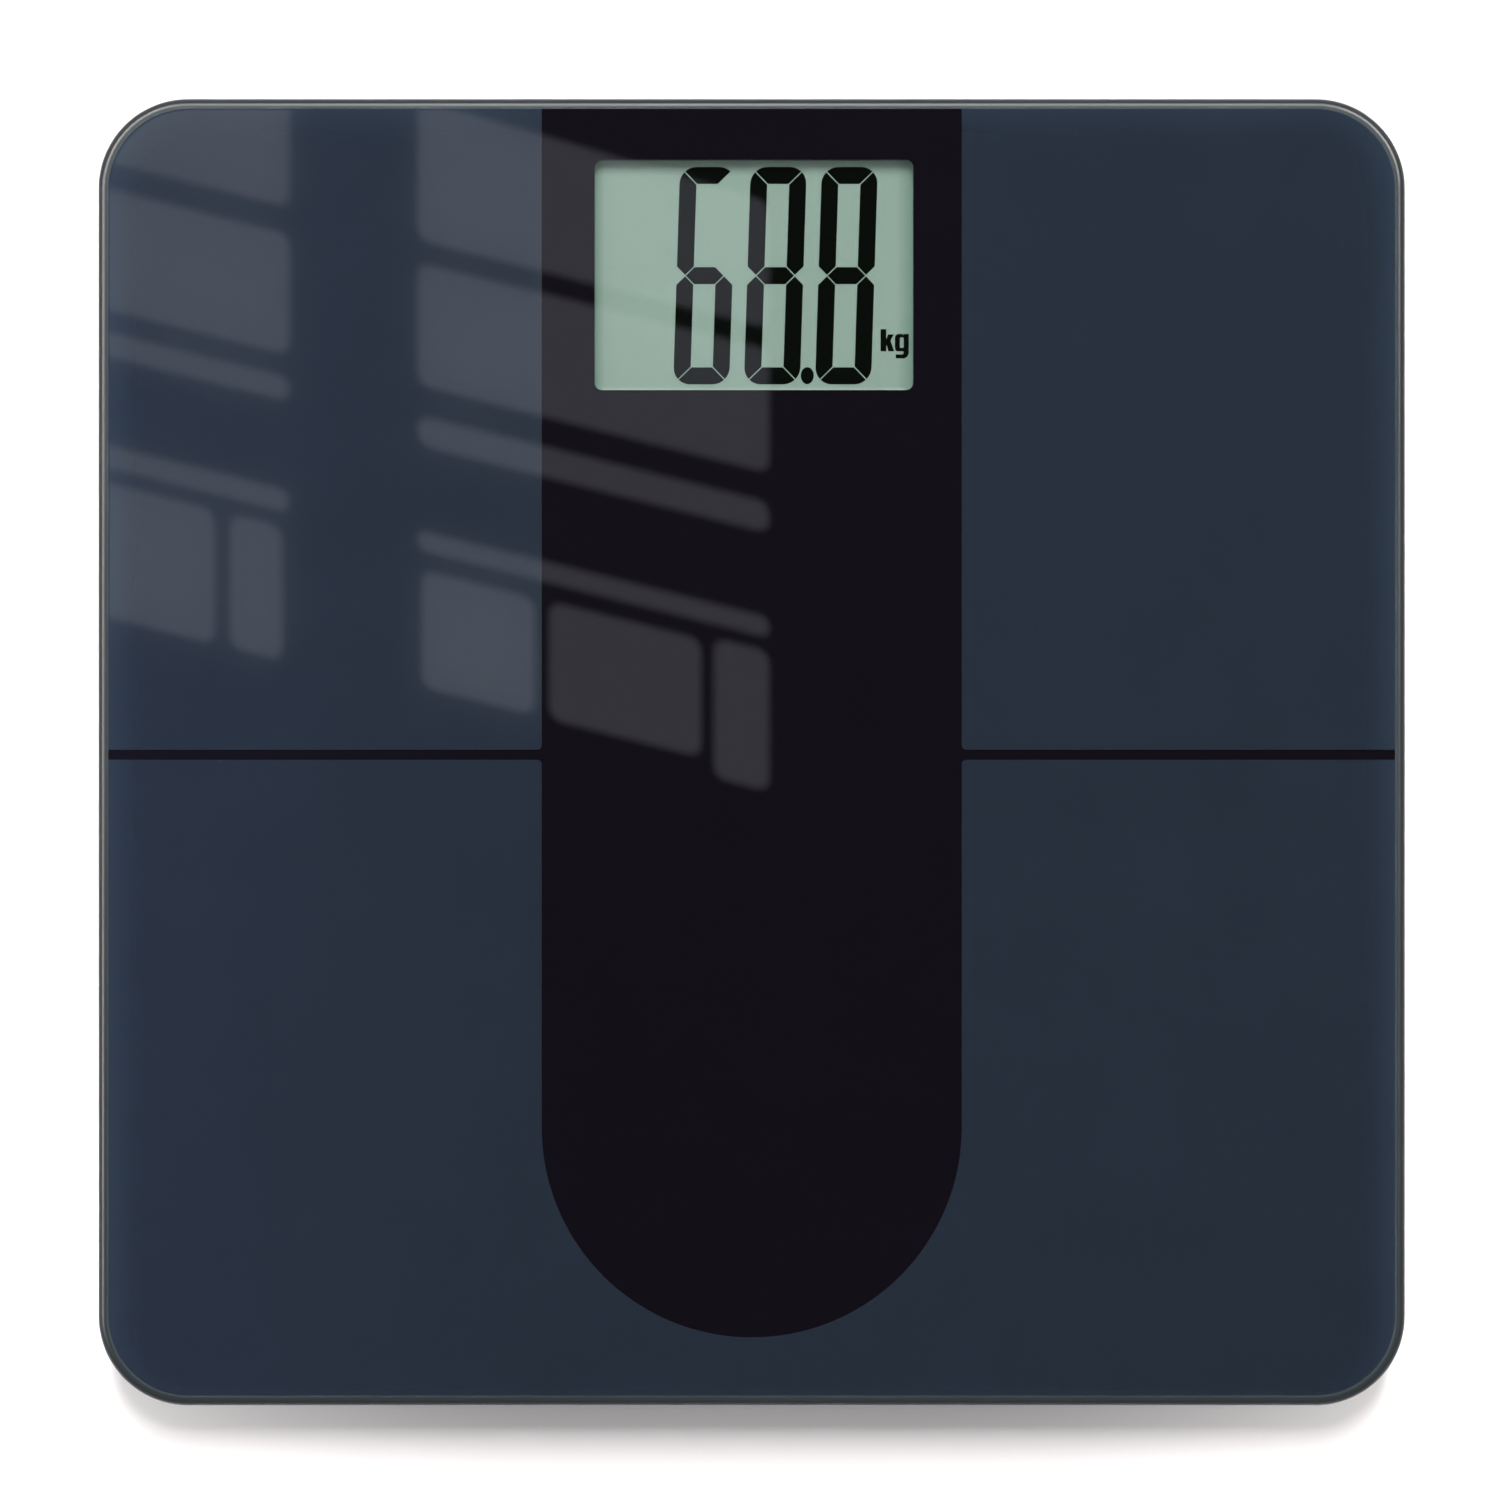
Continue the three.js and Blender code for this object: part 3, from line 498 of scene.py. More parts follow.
# %% Ink outlines
ink_low, ink_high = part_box("print_slate_lower")
INK_HALF = ink_high.x
INK_R = CORNER_R - (SIDE / 2 - INK_HALF)
LINE_LOW = ink_high.y
LINE_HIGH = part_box("print_slate_upper_right")[0].y
TONGUE_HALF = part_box("print_slate_upper_right")[0].x
TONGUE_END = -134.6 * MM
FILLET = 1.0 * MM


def upper_field(side):
    """A slate field beside the tongue and above the line; side is -1 or 1."""
    turn = LINE_HIGH + FILLET
    points = [(TONGUE_HALF, INK_HALF)]
    points += arc(TONGUE_HALF + FILLET, turn, FILLET, 180, 270, 6)
    points += [(INK_HALF, LINE_HIGH)]
    points += arc(INK_HALF - INK_R, INK_HALF - INK_R, INK_R, 0, 90, 32)
    return [(side * x, y) for x, y in points]


def lower_field():
    """The slate field below the line, which wraps round the end of the tongue."""
    turn = LINE_LOW - FILLET
    points = [(-INK_HALF, LINE_LOW)]
    points += arc(-INK_HALF + INK_R, -INK_HALF + INK_R, INK_R, 180, 270, 32)
    points += arc(INK_HALF - INK_R, -INK_HALF + INK_R, INK_R, 270, 360, 32)
    points += [(INK_HALF, LINE_LOW)]
    points += arc(TONGUE_HALF + FILLET, turn, FILLET, 90, 180, 6)
    points += arc(0, TONGUE_END + TONGUE_HALF, TONGUE_HALF, 0, -180, 72)
    points += arc(-TONGUE_HALF - FILLET, turn, FILLET, 0, 90, 6)
    return points


print("tongue:", round(2 * TONGUE_HALF * 1000, 1), "mm wide; line:",
      round((LINE_HIGH - LINE_LOW) * 1000, 2), "mm")

# %% [markdown]
# Ink near the rim looks a little paler, because light enters through the polished edge and runs
# along the glass. That light is painted into the ink: a distance field of the rounded square gives the
# distance to the rim, and the colour lifts over the last few millimetres as a painted glow. Most of
# that light comes from the left and right, so the field is squeezed along y and moved a little, which
# keeps most of the lift off the other two.

# %% Ink finish
GLOW_SHIFT = (0, 0.002, 0)
GLOW_SQUEEZE = (1, 0.8, 1)


def ink_with_painted_rim_glow(name, colour, painted_glow_colour, gloss, specular, rim_width=9 * MM):
    """Ink whose colour lifts to a paler given colour over the last `rim_width` before the rim: a
    painted glow that stands in for light piped in through the glass edge.
    """
    material, nodes, links, shader, where = start_material(name)
    flat = nodes.new("ShaderNodeVectorMath")
    flat.operation = "MULTIPLY_ADD"
    flat.inputs[1].default_value = (1, 1, 0)
    flat.inputs[2].default_value = GLOW_SHIFT
    links.new(where, flat.inputs[0])
    folded = nodes.new("ShaderNodeVectorMath")
    folded.operation = "ABSOLUTE"
    links.new(flat.outputs["Vector"], folded.inputs[0])
    reach = nodes.new("ShaderNodeVectorMath")
    reach.operation = "SUBTRACT"
    reach.inputs[1].default_value = (INK_HALF - INK_R, INK_HALF - INK_R, 0)
    links.new(folded.outputs["Vector"], reach.inputs[0])
    corner = nodes.new("ShaderNodeVectorMath")
    corner.operation = "MAXIMUM"
    corner.inputs[1].default_value = (0, 0, 0)
    links.new(reach.outputs["Vector"], corner.inputs[0])
    sides = nodes.new("ShaderNodeVectorMath")
    sides.operation = "MULTIPLY"
    sides.inputs[1].default_value = GLOW_SQUEEZE
    links.new(corner.outputs["Vector"], sides.inputs[0])
    span = nodes.new("ShaderNodeVectorMath")
    span.operation = "LENGTH"
    links.new(sides.outputs["Vector"], span.inputs[0])
    glow = ranged(nodes, links, span.outputs["Value"], 0, 1, (INK_R - rim_width, INK_R))
    fade = nodes.new("ShaderNodeMath")
    fade.operation = "POWER"
    fade.inputs[1].default_value = 2.0
    links.new(glow, fade.inputs[0])
    cloud = ranged(nodes, links, noise(nodes, links, where, 0.02, 3), 0, 1)
    body = mixed(nodes, links, cloud, shade(colour, 0.97), shade(colour, 1.03))
    links.new(mixed(nodes, links, fade.outputs["Value"], body, painted_glow_colour), shader.inputs["Base Color"])
    links.new(ranged(nodes, links, cloud, gloss, gloss * 1.2, (0, 1)), shader.inputs["Roughness"])
    shader.inputs["Specular IOR Level"].default_value = specular
    return material


SLATE = (0.0178, 0.0245, 0.0402)
# The slate's second colour is painted light: the paler tone near the rim stands in for light piped in
# through the glass edge.
SLATE_PAINTED_RIM_GLOW = (0.0275, 0.041, 0.067)
BLACK = (0.0049, 0.0034, 0.0066)
slate_ink_with_painted_glow = ink_with_painted_rim_glow("ink_slate_blue_painted_glow", SLATE, SLATE_PAINTED_RIM_GLOW, 0.05, 1.0)
black_ink = ink_with_painted_rim_glow("ink_black", BLACK, BLACK, 0.6, 0.0)
print("ink ready")

# %% Ink pieces
WINDOW_W, WINDOW_D, WINDOW_R = 73.3 * MM, 53.0 * MM, 1.7 * MM
frame_low, frame_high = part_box("display_frame")
WINDOW_X = (frame_low.x + frame_high.x) / 2
WINDOW_Y = (frame_low.y + frame_high.y) / 2


def ink_piece(name, node, outlines, material):
    """A layer of ink as thick as the node that it stands for."""
    low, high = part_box(node)
    mesh = sheet_mesh(name, outlines, low.z, high.z)
    piece = finish_mesh(name, mesh, "root", [node])
    piece.data.materials.append(material)
    return piece


ink_piece("ink_slate_upper_left", "print_slate_upper_left", [upper_field(-1)], slate_ink_with_painted_glow)
ink_piece("ink_slate_upper_right", "print_slate_upper_right", [upper_field(1)], slate_ink_with_painted_glow)
ink_piece("ink_slate_lower", "print_slate_lower", [lower_field()], slate_ink_with_painted_glow)
window = rounded_rect(WINDOW_W, WINDOW_D, WINDOW_R, WINDOW_X, WINDOW_Y, 12)
rim = rounded_rect(2 * INK_HALF, 2 * INK_HALF, INK_R, steps=32)
ink_piece("ink_black_backing", "print_black", [rim, window], black_ink)
print("window:", round(WINDOW_W * 1000, 1), "x", round(WINDOW_D * 1000, 1), "mm at y",
      round(WINDOW_Y * 1000, 1))

# %% [markdown]
# ## The display
#
# A reflective liquid crystal display has no lamp. Its grey-green ground is a mirror film seen
# through a polariser, and a lit segment is simply where the crystal turns the light dark. It sits a
# few millimetres below the ink, so the frame round it shades its upper border; the shade along its
# left and right ends is painted into the ground's colour.
#
# The digits could be a texture, but separate flat segments stay sharp and can be renumbered: each
# digit is drawn from the seven bars a to g.

# %% The segments of a digit
DIGIT_W, DIGIT_H, STROKE = 12.9 * MM, 50.1 * MM, 3.9 * MM
SEGMENT_GAP = 0.26 * MM
LEAN = math.tan(math.radians(1.8))
LIT = {"0": "abcdef", "1": "bc", "2": "abged", "3": "abgcd", "4": "fgbc", "5": "afgcd",
       "6": "afgedc", "7": "abc", "8": "abcdefg", "9": "abfgcd"}


def bar_outline(name):
    """The outline of one bar of a digit whose lower left corner is the origin."""
    w, h, t = DIGIT_W, DIGIT_H, STROKE
    slip = SEGMENT_GAP / math.sqrt(2)
    tilt = math.degrees(math.asin(SEGMENT_GAP / 2 / t))
    if name == "a":
        return ([(t + slip, h - t)] + arc(t, h - t, t, 135 - tilt, 90, 6)
                + arc(w - t, h - t, t, 90, 45 + tilt, 6) + [(w - t - slip, h - t)])
    if name == "f":
        middle = h / 2 + slip
        return ([(t, h - t - slip), (t, middle + t / 2), (t / 2, middle), (0, middle + t / 2)]
                + arc(t, h - t, t, 180, 135 + tilt, 6))
    if name == "g":
        ends = [(t / 2 + slip, h / 2), (t + slip, h / 2 + t / 2)]
        upper = ends + [(w - x, y) for x, y in reversed(ends)]
        return upper + [(x, h - y) for x, y in reversed(upper[1:-1])]
    if name in "de":
        return [(x, h - y) for x, y in bar_outline({"d": "a", "e": "f"}[name])]
    return [(w - x, y) for x, y in bar_outline({"b": "f", "c": "e"}[name])]


def anticlockwise(points):
    turn = sum(x0 * y1 - x1 * y0 for (x0, y0), (x1, y1) in zip(points, points[1:] + points[:1]))
    return points if turn > 0 else points[::-1]


def leaning(points, x, y):
    """Moves an outline to its place and slants it as the digits are."""
    return [(x + px + py * LEAN, y + py) for px, py in points]


print("an eight has", len(LIT["8"]), "bars")

# %% The display's panel
lcd_low, lcd_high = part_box("lcd_panel")
LCD_TOP = lcd_high.z
GROUND_DARK, GROUND_LIGHT = (0.221, 0.296, 0.252), (0.238, 0.315, 0.269)
GROUND_SPECK = (0.30, 0.38, 0.33)
# The shade colour and the widths and strengths below paint the frame's shade into the ground at its
# left and right ends.
GROUND_PAINTED_SHADE = (0.075, 0.165, 0.115)
PAINTED_SHADE_LEFT, PAINTED_SHADE_RIGHT = 2.2 * MM, 3.6 * MM
LIGHT_AT_LEFT, LIGHT_AT_RIGHT = 0.35, 0.45
PANEL_R, PANEL_LOW_EDGE, PANEL_TOP_EDGE = 0.6 * MM, 0.1 * MM, 0.15 * MM


def display_ground_with_painted_shade():
    """The grey-green ground with a fine mirror grain, and painted shade: the colour darkens towards the
    two ends, standing in for the frame's shade.
    """
    material, nodes, links, shader, where = start_material("lcd_ground_green_painted_shade")
    grain = noise(nodes, links, where, 0.0005, 2)
    slow = noise(nodes, links, where, 0.05, 2)
    base = mixed(nodes, links, ranged(nodes, links, slow, 0, 1), GROUND_DARK, GROUND_LIGHT)
    speck = mixed(nodes, links, ranged(nodes, links, grain, 0, 0.12), base, GROUND_SPECK)
    split = nodes.new("ShaderNodeSeparateXYZ")
    links.new(where, split.inputs["Vector"])
    left, right = WINDOW_X - WINDOW_W / 2, WINDOW_X + WINDOW_W / 2
    # Painted shade: the ground darkens over the last few millimetres at its left and right ends.
    near_left = ranged(nodes, links, split.outputs["X"], LIGHT_AT_LEFT, 1,
                       (left, left + PAINTED_SHADE_LEFT))
    near_right = ranged(nodes, links, split.outputs["X"], LIGHT_AT_RIGHT, 1,
                        (right, right - PAINTED_SHADE_RIGHT))
    light = nodes.new("ShaderNodeMath")
    light.operation = "MULTIPLY"
    links.new(near_left, light.inputs[0])
    links.new(near_right, light.inputs[1])
    lit = mixed(nodes, links, light.outputs["Value"], GROUND_PAINTED_SHADE, speck)
    links.new(lit, shader.inputs["Base Color"])
    links.new(ranged(nodes, links, grain, 0.32, 0.45), shader.inputs["Roughness"])
    shader.inputs["Specular IOR Level"].default_value = 0.1
    return material


panel_edge = rounded_edge(lcd_low.z, LCD_TOP, PANEL_LOW_EDGE, PANEL_TOP_EDGE, 3)
panel_rings = plate_rings(lcd_high.x - lcd_low.x, lcd_high.y - lcd_low.y, PANEL_R, panel_edge,
                          WINDOW_X, WINDOW_Y, 4)
panel = finish_mesh("lcd_cell", stacked_mesh("lcd_cell", panel_rings), "root",
                    ["lcd_panel"])
panel.data.materials.append(display_ground_with_painted_shade())

# %% The reading
READING = "688"
DIGIT_X = [-18.1 * MM, -1.8 * MM, 14.6 * MM]
DIGIT_Y = 84.8 * MM
INK_T = 0.03 * MM


segment_dark = moulded("lcd_segment_black", (0.0015, 0.0024, 0.0016), 0.6, 0.0005, 0.000004, 0.1, 0.0)
for place, (digit, left) in enumerate(zip(READING, DIGIT_X)):
    bars = [anticlockwise(leaning(bar_outline(bar), left, DIGIT_Y)) for bar in LIT[digit]]
    digit_mesh = sheet_mesh(f"lcd_digit_{place + 1}", bars, LCD_TOP + INK_T, LCD_TOP + 2 * INK_T)
    digit_piece = finish_mesh(f"lcd_digit_{place + 1}", digit_mesh, "root")
    digit_piece.data.materials.append(segment_dark)

POINT_X, POINT_Y = 12.8 * MM, 86.8 * MM
POINT_HALF_W, POINT_HALF_H = 1.5 * MM, 1.95 * MM
point_outline = [(POINT_X + POINT_HALF_W * x, POINT_Y + POINT_HALF_H * y)
                 for x, y in arc(0, 0, 1, 0, 345, 23)]
point_mesh = sheet_mesh("lcd_point", [point_outline], LCD_TOP + INK_T, LCD_TOP + 2 * INK_T)
finish_mesh("lcd_point", point_mesh, "root").data.materials.append(segment_dark)
print("the display reads", READING[:2] + "." + READING[2], "kg")

# %% [markdown]
# The unit sign is a bold condensed "kg". A font could be turned into a mesh, but at this size two
# drawn outlines are crisper: one for the k, and one with a hole for the g.

# %% The unit sign
UNIT_X, UNIT_Y = 29.7 * MM, 92.4 * MM
G_SHIFT = 3.3
K_OUTLINE = [(0, 0), (1.3, 0), (1.3, 1.1), (1.45, 1.4), (1.8, 0), (3.15, 0), (2.3, 2.45),
             (3.05, 3.9), (1.75, 3.9), (1.3, 2.75), (1.3, 5.1), (0, 5.1)]
G_OUTLINE = [(0.45, 0), (2.0, 0), (2.0, -0.4), (1.8, -0.7), (0.2, -0.7), (0.2, -1.6),
             (2.1, -1.65), (2.8, -1.3), (3.2, -0.5), (3.2, 4.0), (2.1, 4.0), (2.0, 3.75),
             (1.6, 4.05), (0.5, 3.95), (0.1, 3.5), (0, 2.9), (0, 0.9), (0.12, 0.3)]
G_HOLE = [(1.3, 0.8), (1.9, 0.8), (2.05, 1.0), (2.05, 3.0), (1.9, 3.2), (1.3, 3.2), (1.15, 3.0),
          (1.15, 1.0)]


def letter(points, shift):
    """Places an outline that is given in millimetres, moved right by `shift`."""
    return [(UNIT_X + (x + shift) * MM, UNIT_Y + y * MM) for x, y in points]


unit_outlines = [letter(K_OUTLINE, 0), letter(G_OUTLINE, G_SHIFT), letter(G_HOLE, G_SHIFT)]
unit_mesh = sheet_mesh("lcd_unit_sign", unit_outlines, LCD_TOP + INK_T, LCD_TOP + 2 * INK_T)
unit_piece = finish_mesh("lcd_unit_sign", unit_mesh, "root")
unit_piece.data.materials.append(segment_dark)
print("unit sign:", len(unit_outlines), "outlines")

# %% [markdown]
# The frame holds the panel against the glass. Its opening is as wide as the window in the ink. A pale
# strip of film lies along the lower side of the window, away from the shade; its pale colour is a
# painted highlight, standing in for the thin line of light that the lit edge shows there.

# %% Frame and lip
frame_outline = rounded_rect(frame_high.x - frame_low.x, frame_high.y - frame_low.y, 2.5 * MM,
                             WINDOW_X, WINDOW_Y, 8)
opening = rounded_rect(WINDOW_W + 0.1 * MM, WINDOW_D + 0.1 * MM, WINDOW_R, WINDOW_X, WINDOW_Y, 12)
lower_opening = rounded_rect(lcd_high.x - lcd_low.x + 0.4 * MM, lcd_high.y - lcd_low.y + 0.4 * MM,
                             0.8 * MM, WINDOW_X, WINDOW_Y, 8)
step_z = LCD_TOP + 0.05 * MM
upper_mesh = sheet_mesh("display_bezel", [frame_outline, opening], step_z, frame_high.z, 0.15 * MM)
bezel = finish_mesh("display_bezel", upper_mesh, "root", ["display_frame"])
bezel.data.materials.append(frame_plastic)
skirt_mesh = sheet_mesh("display_skirt", [frame_outline, lower_opening], frame_low.z,
                        step_z - 0.02 * MM, 0.1 * MM)
skirt = finish_mesh("display_skirt", skirt_mesh, "root")
skirt.data.materials.append(frame_plastic)

LIP_W, LIP_T = 0.32 * MM, 0.3 * MM
lip_y = WINDOW_Y - WINDOW_D / 2 + LIP_W
lip_outline = rounded_rect(WINDOW_W - 2 * WINDOW_R, LIP_W, LIP_W / 2.1, WINDOW_X, lip_y, 4)
# The strip's pale colour is a painted highlight: a thin bright line along the lower side of the window.
lip_painted_highlight = moulded("lcd_lip_film", (0.27, 0.35, 0.31), 0.35, 0.0005, 0.000004, 0.05)
lip_mesh = sheet_mesh("lcd_painted_highlight_lip", [lip_outline], LCD_TOP + INK_T, LCD_TOP + INK_T + LIP_T)
lip = finish_mesh("lcd_painted_highlight_lip", lip_mesh, "root")
lip.data.materials.append(lip_painted_highlight)
print("frame and lip placed")

# %% [markdown]
# ## Feet
#
# Each foot is a plastic cup that slides in a hole of the tray and carries a rubber pad. The pad is
# the only part that touches the floor, so it has ring grooves for grip. The cup has a shallow groove
# moulded round its wall and a flange inside the tray that keeps it from falling out. Both are
# turned from a half section.

# %% Foot sections
DISH_R, DISH_DEPTH, DISH_SLOPE = 4.0 * MM, 0.25 * MM, 0.3 * MM
GROOVES = (9.0 * MM, 13.5 * MM)
GROOVE_HALF, GROOVE_SLOPE, GROOVE_DEPTH = 0.4 * MM, 0.3 * MM, 0.5 * MM
PAD_LOW_R, PAD_HIGH_R = 0.8 * MM, 0.3 * MM
CUP_R, CUP_WALL, CUP_LOW_R, LIP_R = 25 * MM, 2 * MM, 1.6 * MM, 0.3 * MM
BAND_HALF, BAND_DEPTH = 0.5 * MM, 0.3 * MM
SEAT_R, SEAT_Z, WELL_Z = 12 * MM, 5.4 * MM, 4.45 * MM
FLANGE_Z, FLANGE_CHAMFER = 8.6 * MM, 0.2 * MM
CUP_FLOOR_IN, BAND_RISE = 5 * MM, 0.6 * MM


def pad_section(radius, low, high):
    """A dull pad: a dish and two ring grooves below, and rounded edges."""
    section = [(0, low + DISH_DEPTH), (DISH_R, low + DISH_DEPTH), (DISH_R + DISH_SLOPE, low)]
    for groove in GROOVES:
        outer = GROOVE_HALF + GROOVE_SLOPE
        section += [(groove - outer, low), (groove - GROOVE_HALF, low + GROOVE_DEPTH),
                    (groove + GROOVE_HALF, low + GROOVE_DEPTH), (groove + outer, low)]
    section += arc(radius - PAD_LOW_R, low + PAD_LOW_R, PAD_LOW_R, -90, 0, 6)
    section += arc(radius - PAD_HIGH_R, high - PAD_HIGH_R, PAD_HIGH_R, 0, 90, 3)
    return section + [(0, high)]


def cup_section(flange, low, high):
    """A cup: a groove round its wall, a flange at the top, and a seat and a well inside."""
    section = [(0, low), (CUP_R - CUP_FLOOR_IN, low)]
    section += arc(CUP_R - CUP_LOW_R, low + CUP_LOW_R, CUP_LOW_R, -90, 0, 8)
    band = (low + FLANGE_Z) / 2 + BAND_RISE
    section += [(CUP_R, band - BAND_HALF), (CUP_R - BAND_DEPTH, band - BAND_DEPTH),
                (CUP_R - BAND_DEPTH, band + BAND_DEPTH), (CUP_R, band + BAND_HALF)]
    section += [(CUP_R, FLANGE_Z), (flange - FLANGE_CHAMFER, FLANGE_Z)]
    section += arc(flange - LIP_R, high - LIP_R, LIP_R, 0, 90, 3)
    inside = CUP_R - CUP_WALL
    return section + [(inside, high), (inside, SEAT_Z), (SEAT_R, SEAT_Z), (SEAT_R, WELL_Z), (0, WELL_Z)]


print("pad section has", len(pad_section(18.5 * MM, 0, 2.5 * MM)), "points")

# %% Feet
FEET = ["display_left", "display_right", "heel_left", "heel_right"]

for foot in FEET:
    pad_low, pad_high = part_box(f"foot_pad_{foot}")
    shell_low, shell_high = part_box(f"foot_shell_{foot}")
    x, y = (pad_low.x + pad_high.x) / 2, (pad_low.y + pad_high.y) / 2
    radius = (pad_high.x - pad_low.x) / 2
    pad_mesh = turned_mesh(f"pad_{foot}", pad_section(radius, pad_low.z, pad_high.z), x, y)
    pad = finish_mesh(f"pad_{foot}", pad_mesh, f"foot_{foot}", [f"foot_pad_{foot}"])
    pad.data.materials.append(foot_rubber)
    flange = (shell_high.x - shell_low.x) / 2
    cup_mesh = turned_mesh(f"cup_{foot}", cup_section(flange, shell_low.z, shell_high.z), x, y)
    cup = finish_mesh(f"cup_{foot}", cup_mesh, f"foot_{foot}",
                      [f"foot_shell_{foot}"])
    cup.data.materials.append(shell_plastic)
print("feet stand at", round(x * 1000), "mm from the middle")

# %% [markdown]
# ## Finishes on the working pieces
#
# The tray, the brackets, the screws and everything inside are right as they come from the working
# model. They only need their edges broken, which a Bevel modifier does, and a finish of their own.
# The Bevel modifier leaves the mesh underneath untouched.

# %% Dress the carried-over pieces
SMOOTH_UP_TO, BEVEL_FROM = math.radians(32), math.radians(40)

# Each entry holds a finish and the width of the broken edges in millimetres.
NODE_FINISH = {
    "mounting_tape": (tape_foam, 0),
    "base_tray": (tray_plastic, 0.25),
    "display_gasket": (gasket_foam, 0),
    "lcd_backing": (reflector, 0.1),
    "zebra_strip": (zebra_rubber, 0.1),
    "main_board": (board_lacquer, 0.1),
    "controller_chip": (chip_resin, 0),
    "capacitor": (ceramic_tan, 0.25),
    "unit_switch_body": (switch_plastic, 0.15),
    "unit_switch_plunger": (switch_plastic, 0.15),
    "battery_cell_near": (sleeve_near, 0),
    "battery_cell_far": (sleeve_far, 0),
    "battery_contact_positive": (contact_nickel, 0.05),
    "battery_contact_negative": (contact_nickel, 0),
    "battery_contact_bridge": (contact_nickel, 0),
    "battery_lead_red": (sleeve_red, 0),
    "battery_lead_black": (sleeve_black, 0),
    "battery_door": (door_plastic, 0.2),
    "unit_button": (button_plastic, 0),
}
for foot in FEET:
    NODE_FINISH[f"load_cell_{foot}"] = (cell_steel, 0.15)
    NODE_FINISH[f"strain_gauge_{foot}"] = (gauge_film, 0.05)
    NODE_FINISH[f"cell_bracket_{foot}"] = (bracket_plastic, 0.3)
    NODE_FINISH[f"bracket_screw_{foot}"] = (screw_steel, 0)
    NODE_FINISH[f"cell_lead_{foot}"] = (sleeve_white, 0)
for number in range(1, 5):
    NODE_FINISH[f"board_screw_{number}"] = (screw_steel, 0)

for node, (material, edge) in NODE_FINISH.items():
    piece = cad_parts[node]
    piece.data.materials.clear()
    piece.data.materials.append(material)
    piece.data.polygons.foreach_set("use_smooth", [True] * len(piece.data.polygons))
    piece.data.set_sharp_from_angle(angle=SMOOTH_UP_TO)
    if edge:
        bevel = piece.modifiers.new("broken_edges", "BEVEL")
        bevel.width = edge * MM
        bevel.segments = 2
        bevel.limit_method = "ANGLE"
        bevel.angle_limit = BEVEL_FROM
        bevel.harden_normals = True
print("dressed", len(NODE_FINISH), "pieces")

# %% [markdown]
# ## Relief on the underside
#
# A mould can give a floor-facing panel useful details at no cost: a bead along the rim stiffens it,
# a collar guards each foot, and the battery door shows how the cells lie and where a finger should
# pull. These are low raised shapes, so thin sheets with a rounded edge are enough. They sink a
# little into the panel, as moulded relief has no gap under it.

# %% Raised shapes
tray_low, tray_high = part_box("base_tray")
door_low, door_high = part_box("battery_door")
RELIEF, SINK, SOFT = 0.35 * MM, 0.15 * MM, 0.12 * MM


def raised(name, outlines, body, material, height=RELIEF):
    """A raised shape under a panel whose underside is at the tray's lowest height."""
    mesh = sheet_mesh(name, outlines, tray_low.z - height, tray_low.z + SINK, SOFT)
    finish_mesh(name, mesh, body).data.materials.append(material)


def circle(x, y, radius, steps=64):
    return arc(x, y, radius, 0, 360 - 360 / steps, steps - 1)


def bar(x, y, width, depth):
    return rounded_rect(width, depth, min(width, depth) * 0.3, x, y, 3)


def tray_raised(name, outlines):
    raised(name, outlines, "root", tray_plastic)


BEAD_SIDE, BEAD_W, BEAD_R = 279.2 * MM, 1.2 * MM, 14 * MM
bead_inside = BEAD_SIDE - 2 * BEAD_W
tray_raised("tray_bead", [rounded_rect(BEAD_SIDE, BEAD_SIDE, BEAD_R),
                          rounded_rect(bead_inside, bead_inside, BEAD_R - BEAD_W)])
COLLAR_OUTER, COLLAR_INNER = 28.6 * MM, 26.9 * MM
for foot in FEET:
    low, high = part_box(f"foot_shell_{foot}")
    x, y = (low.x + high.x) / 2, (low.y + high.y) / 2
    tray_raised(f"tray_collar_{foot}", [circle(x, y, COLLAR_OUTER), circle(x, y, COLLAR_INNER)])

button_low, button_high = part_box("unit_button")
button_x, button_y = (button_low.x + button_high.x) / 2, (button_low.y + button_high.y) / 2
BUTTON_COLLAR_OUTER, BUTTON_COLLAR_INNER = 7.4 * MM, 6.1 * MM
tray_raised("tray_button_collar", [circle(button_x, button_y, BUTTON_COLLAR_OUTER),
                                   circle(button_x, button_y, BUTTON_COLLAR_INNER)])
print("tray relief done")

# %% [markdown]
# The door carries ridges for the thumb, an arrow that points the way it opens, and an outline of
# each cell with its plus and minus ends, which face opposite ways.

# %% Door relief
door_x = (door_low.x + door_high.x) / 2
RIDGE_Y, RIDGE_STEP, RIDGE_W, RIDGE_T = 51.8 * MM, 1.3 * MM, 14 * MM, 0.6 * MM
ARROW_Y, ARROW_HALF, ARROW_LENGTH = 46.6 * MM, 2.2 * MM, 2.6 * MM
DOOR_RELIEF = 0.25 * MM
SIGN_LENGTH, SIGN_HEIGHT, SIGN_LINE = 34 * MM, 4.6 * MM, 0.5 * MM
SIGN_OUTER_R, SIGN_INNER_R = 1.0 * MM, 0.5 * MM
NUB_LENGTH, NUB_HEIGHT, MARK_IN = 0.9 * MM, 2.0 * MM, 3 * MM
MARK_ARM, MARK_HALF = 1.1 * MM, 0.28 * MM


def door_raised(name, outlines):
    raised(name, outlines, "battery_door", door_plastic, DOOR_RELIEF)


for ridge in range(4):
    ridge_y = RIDGE_Y - ridge * RIDGE_STEP
    door_raised(f"door_ridge_{ridge + 1}", [bar(door_x, ridge_y, RIDGE_W, RIDGE_T)])
door_raised("door_arrow", [[(door_x - ARROW_HALF, ARROW_Y), (door_x, ARROW_Y - ARROW_LENGTH),
                            (door_x + ARROW_HALF, ARROW_Y)]])


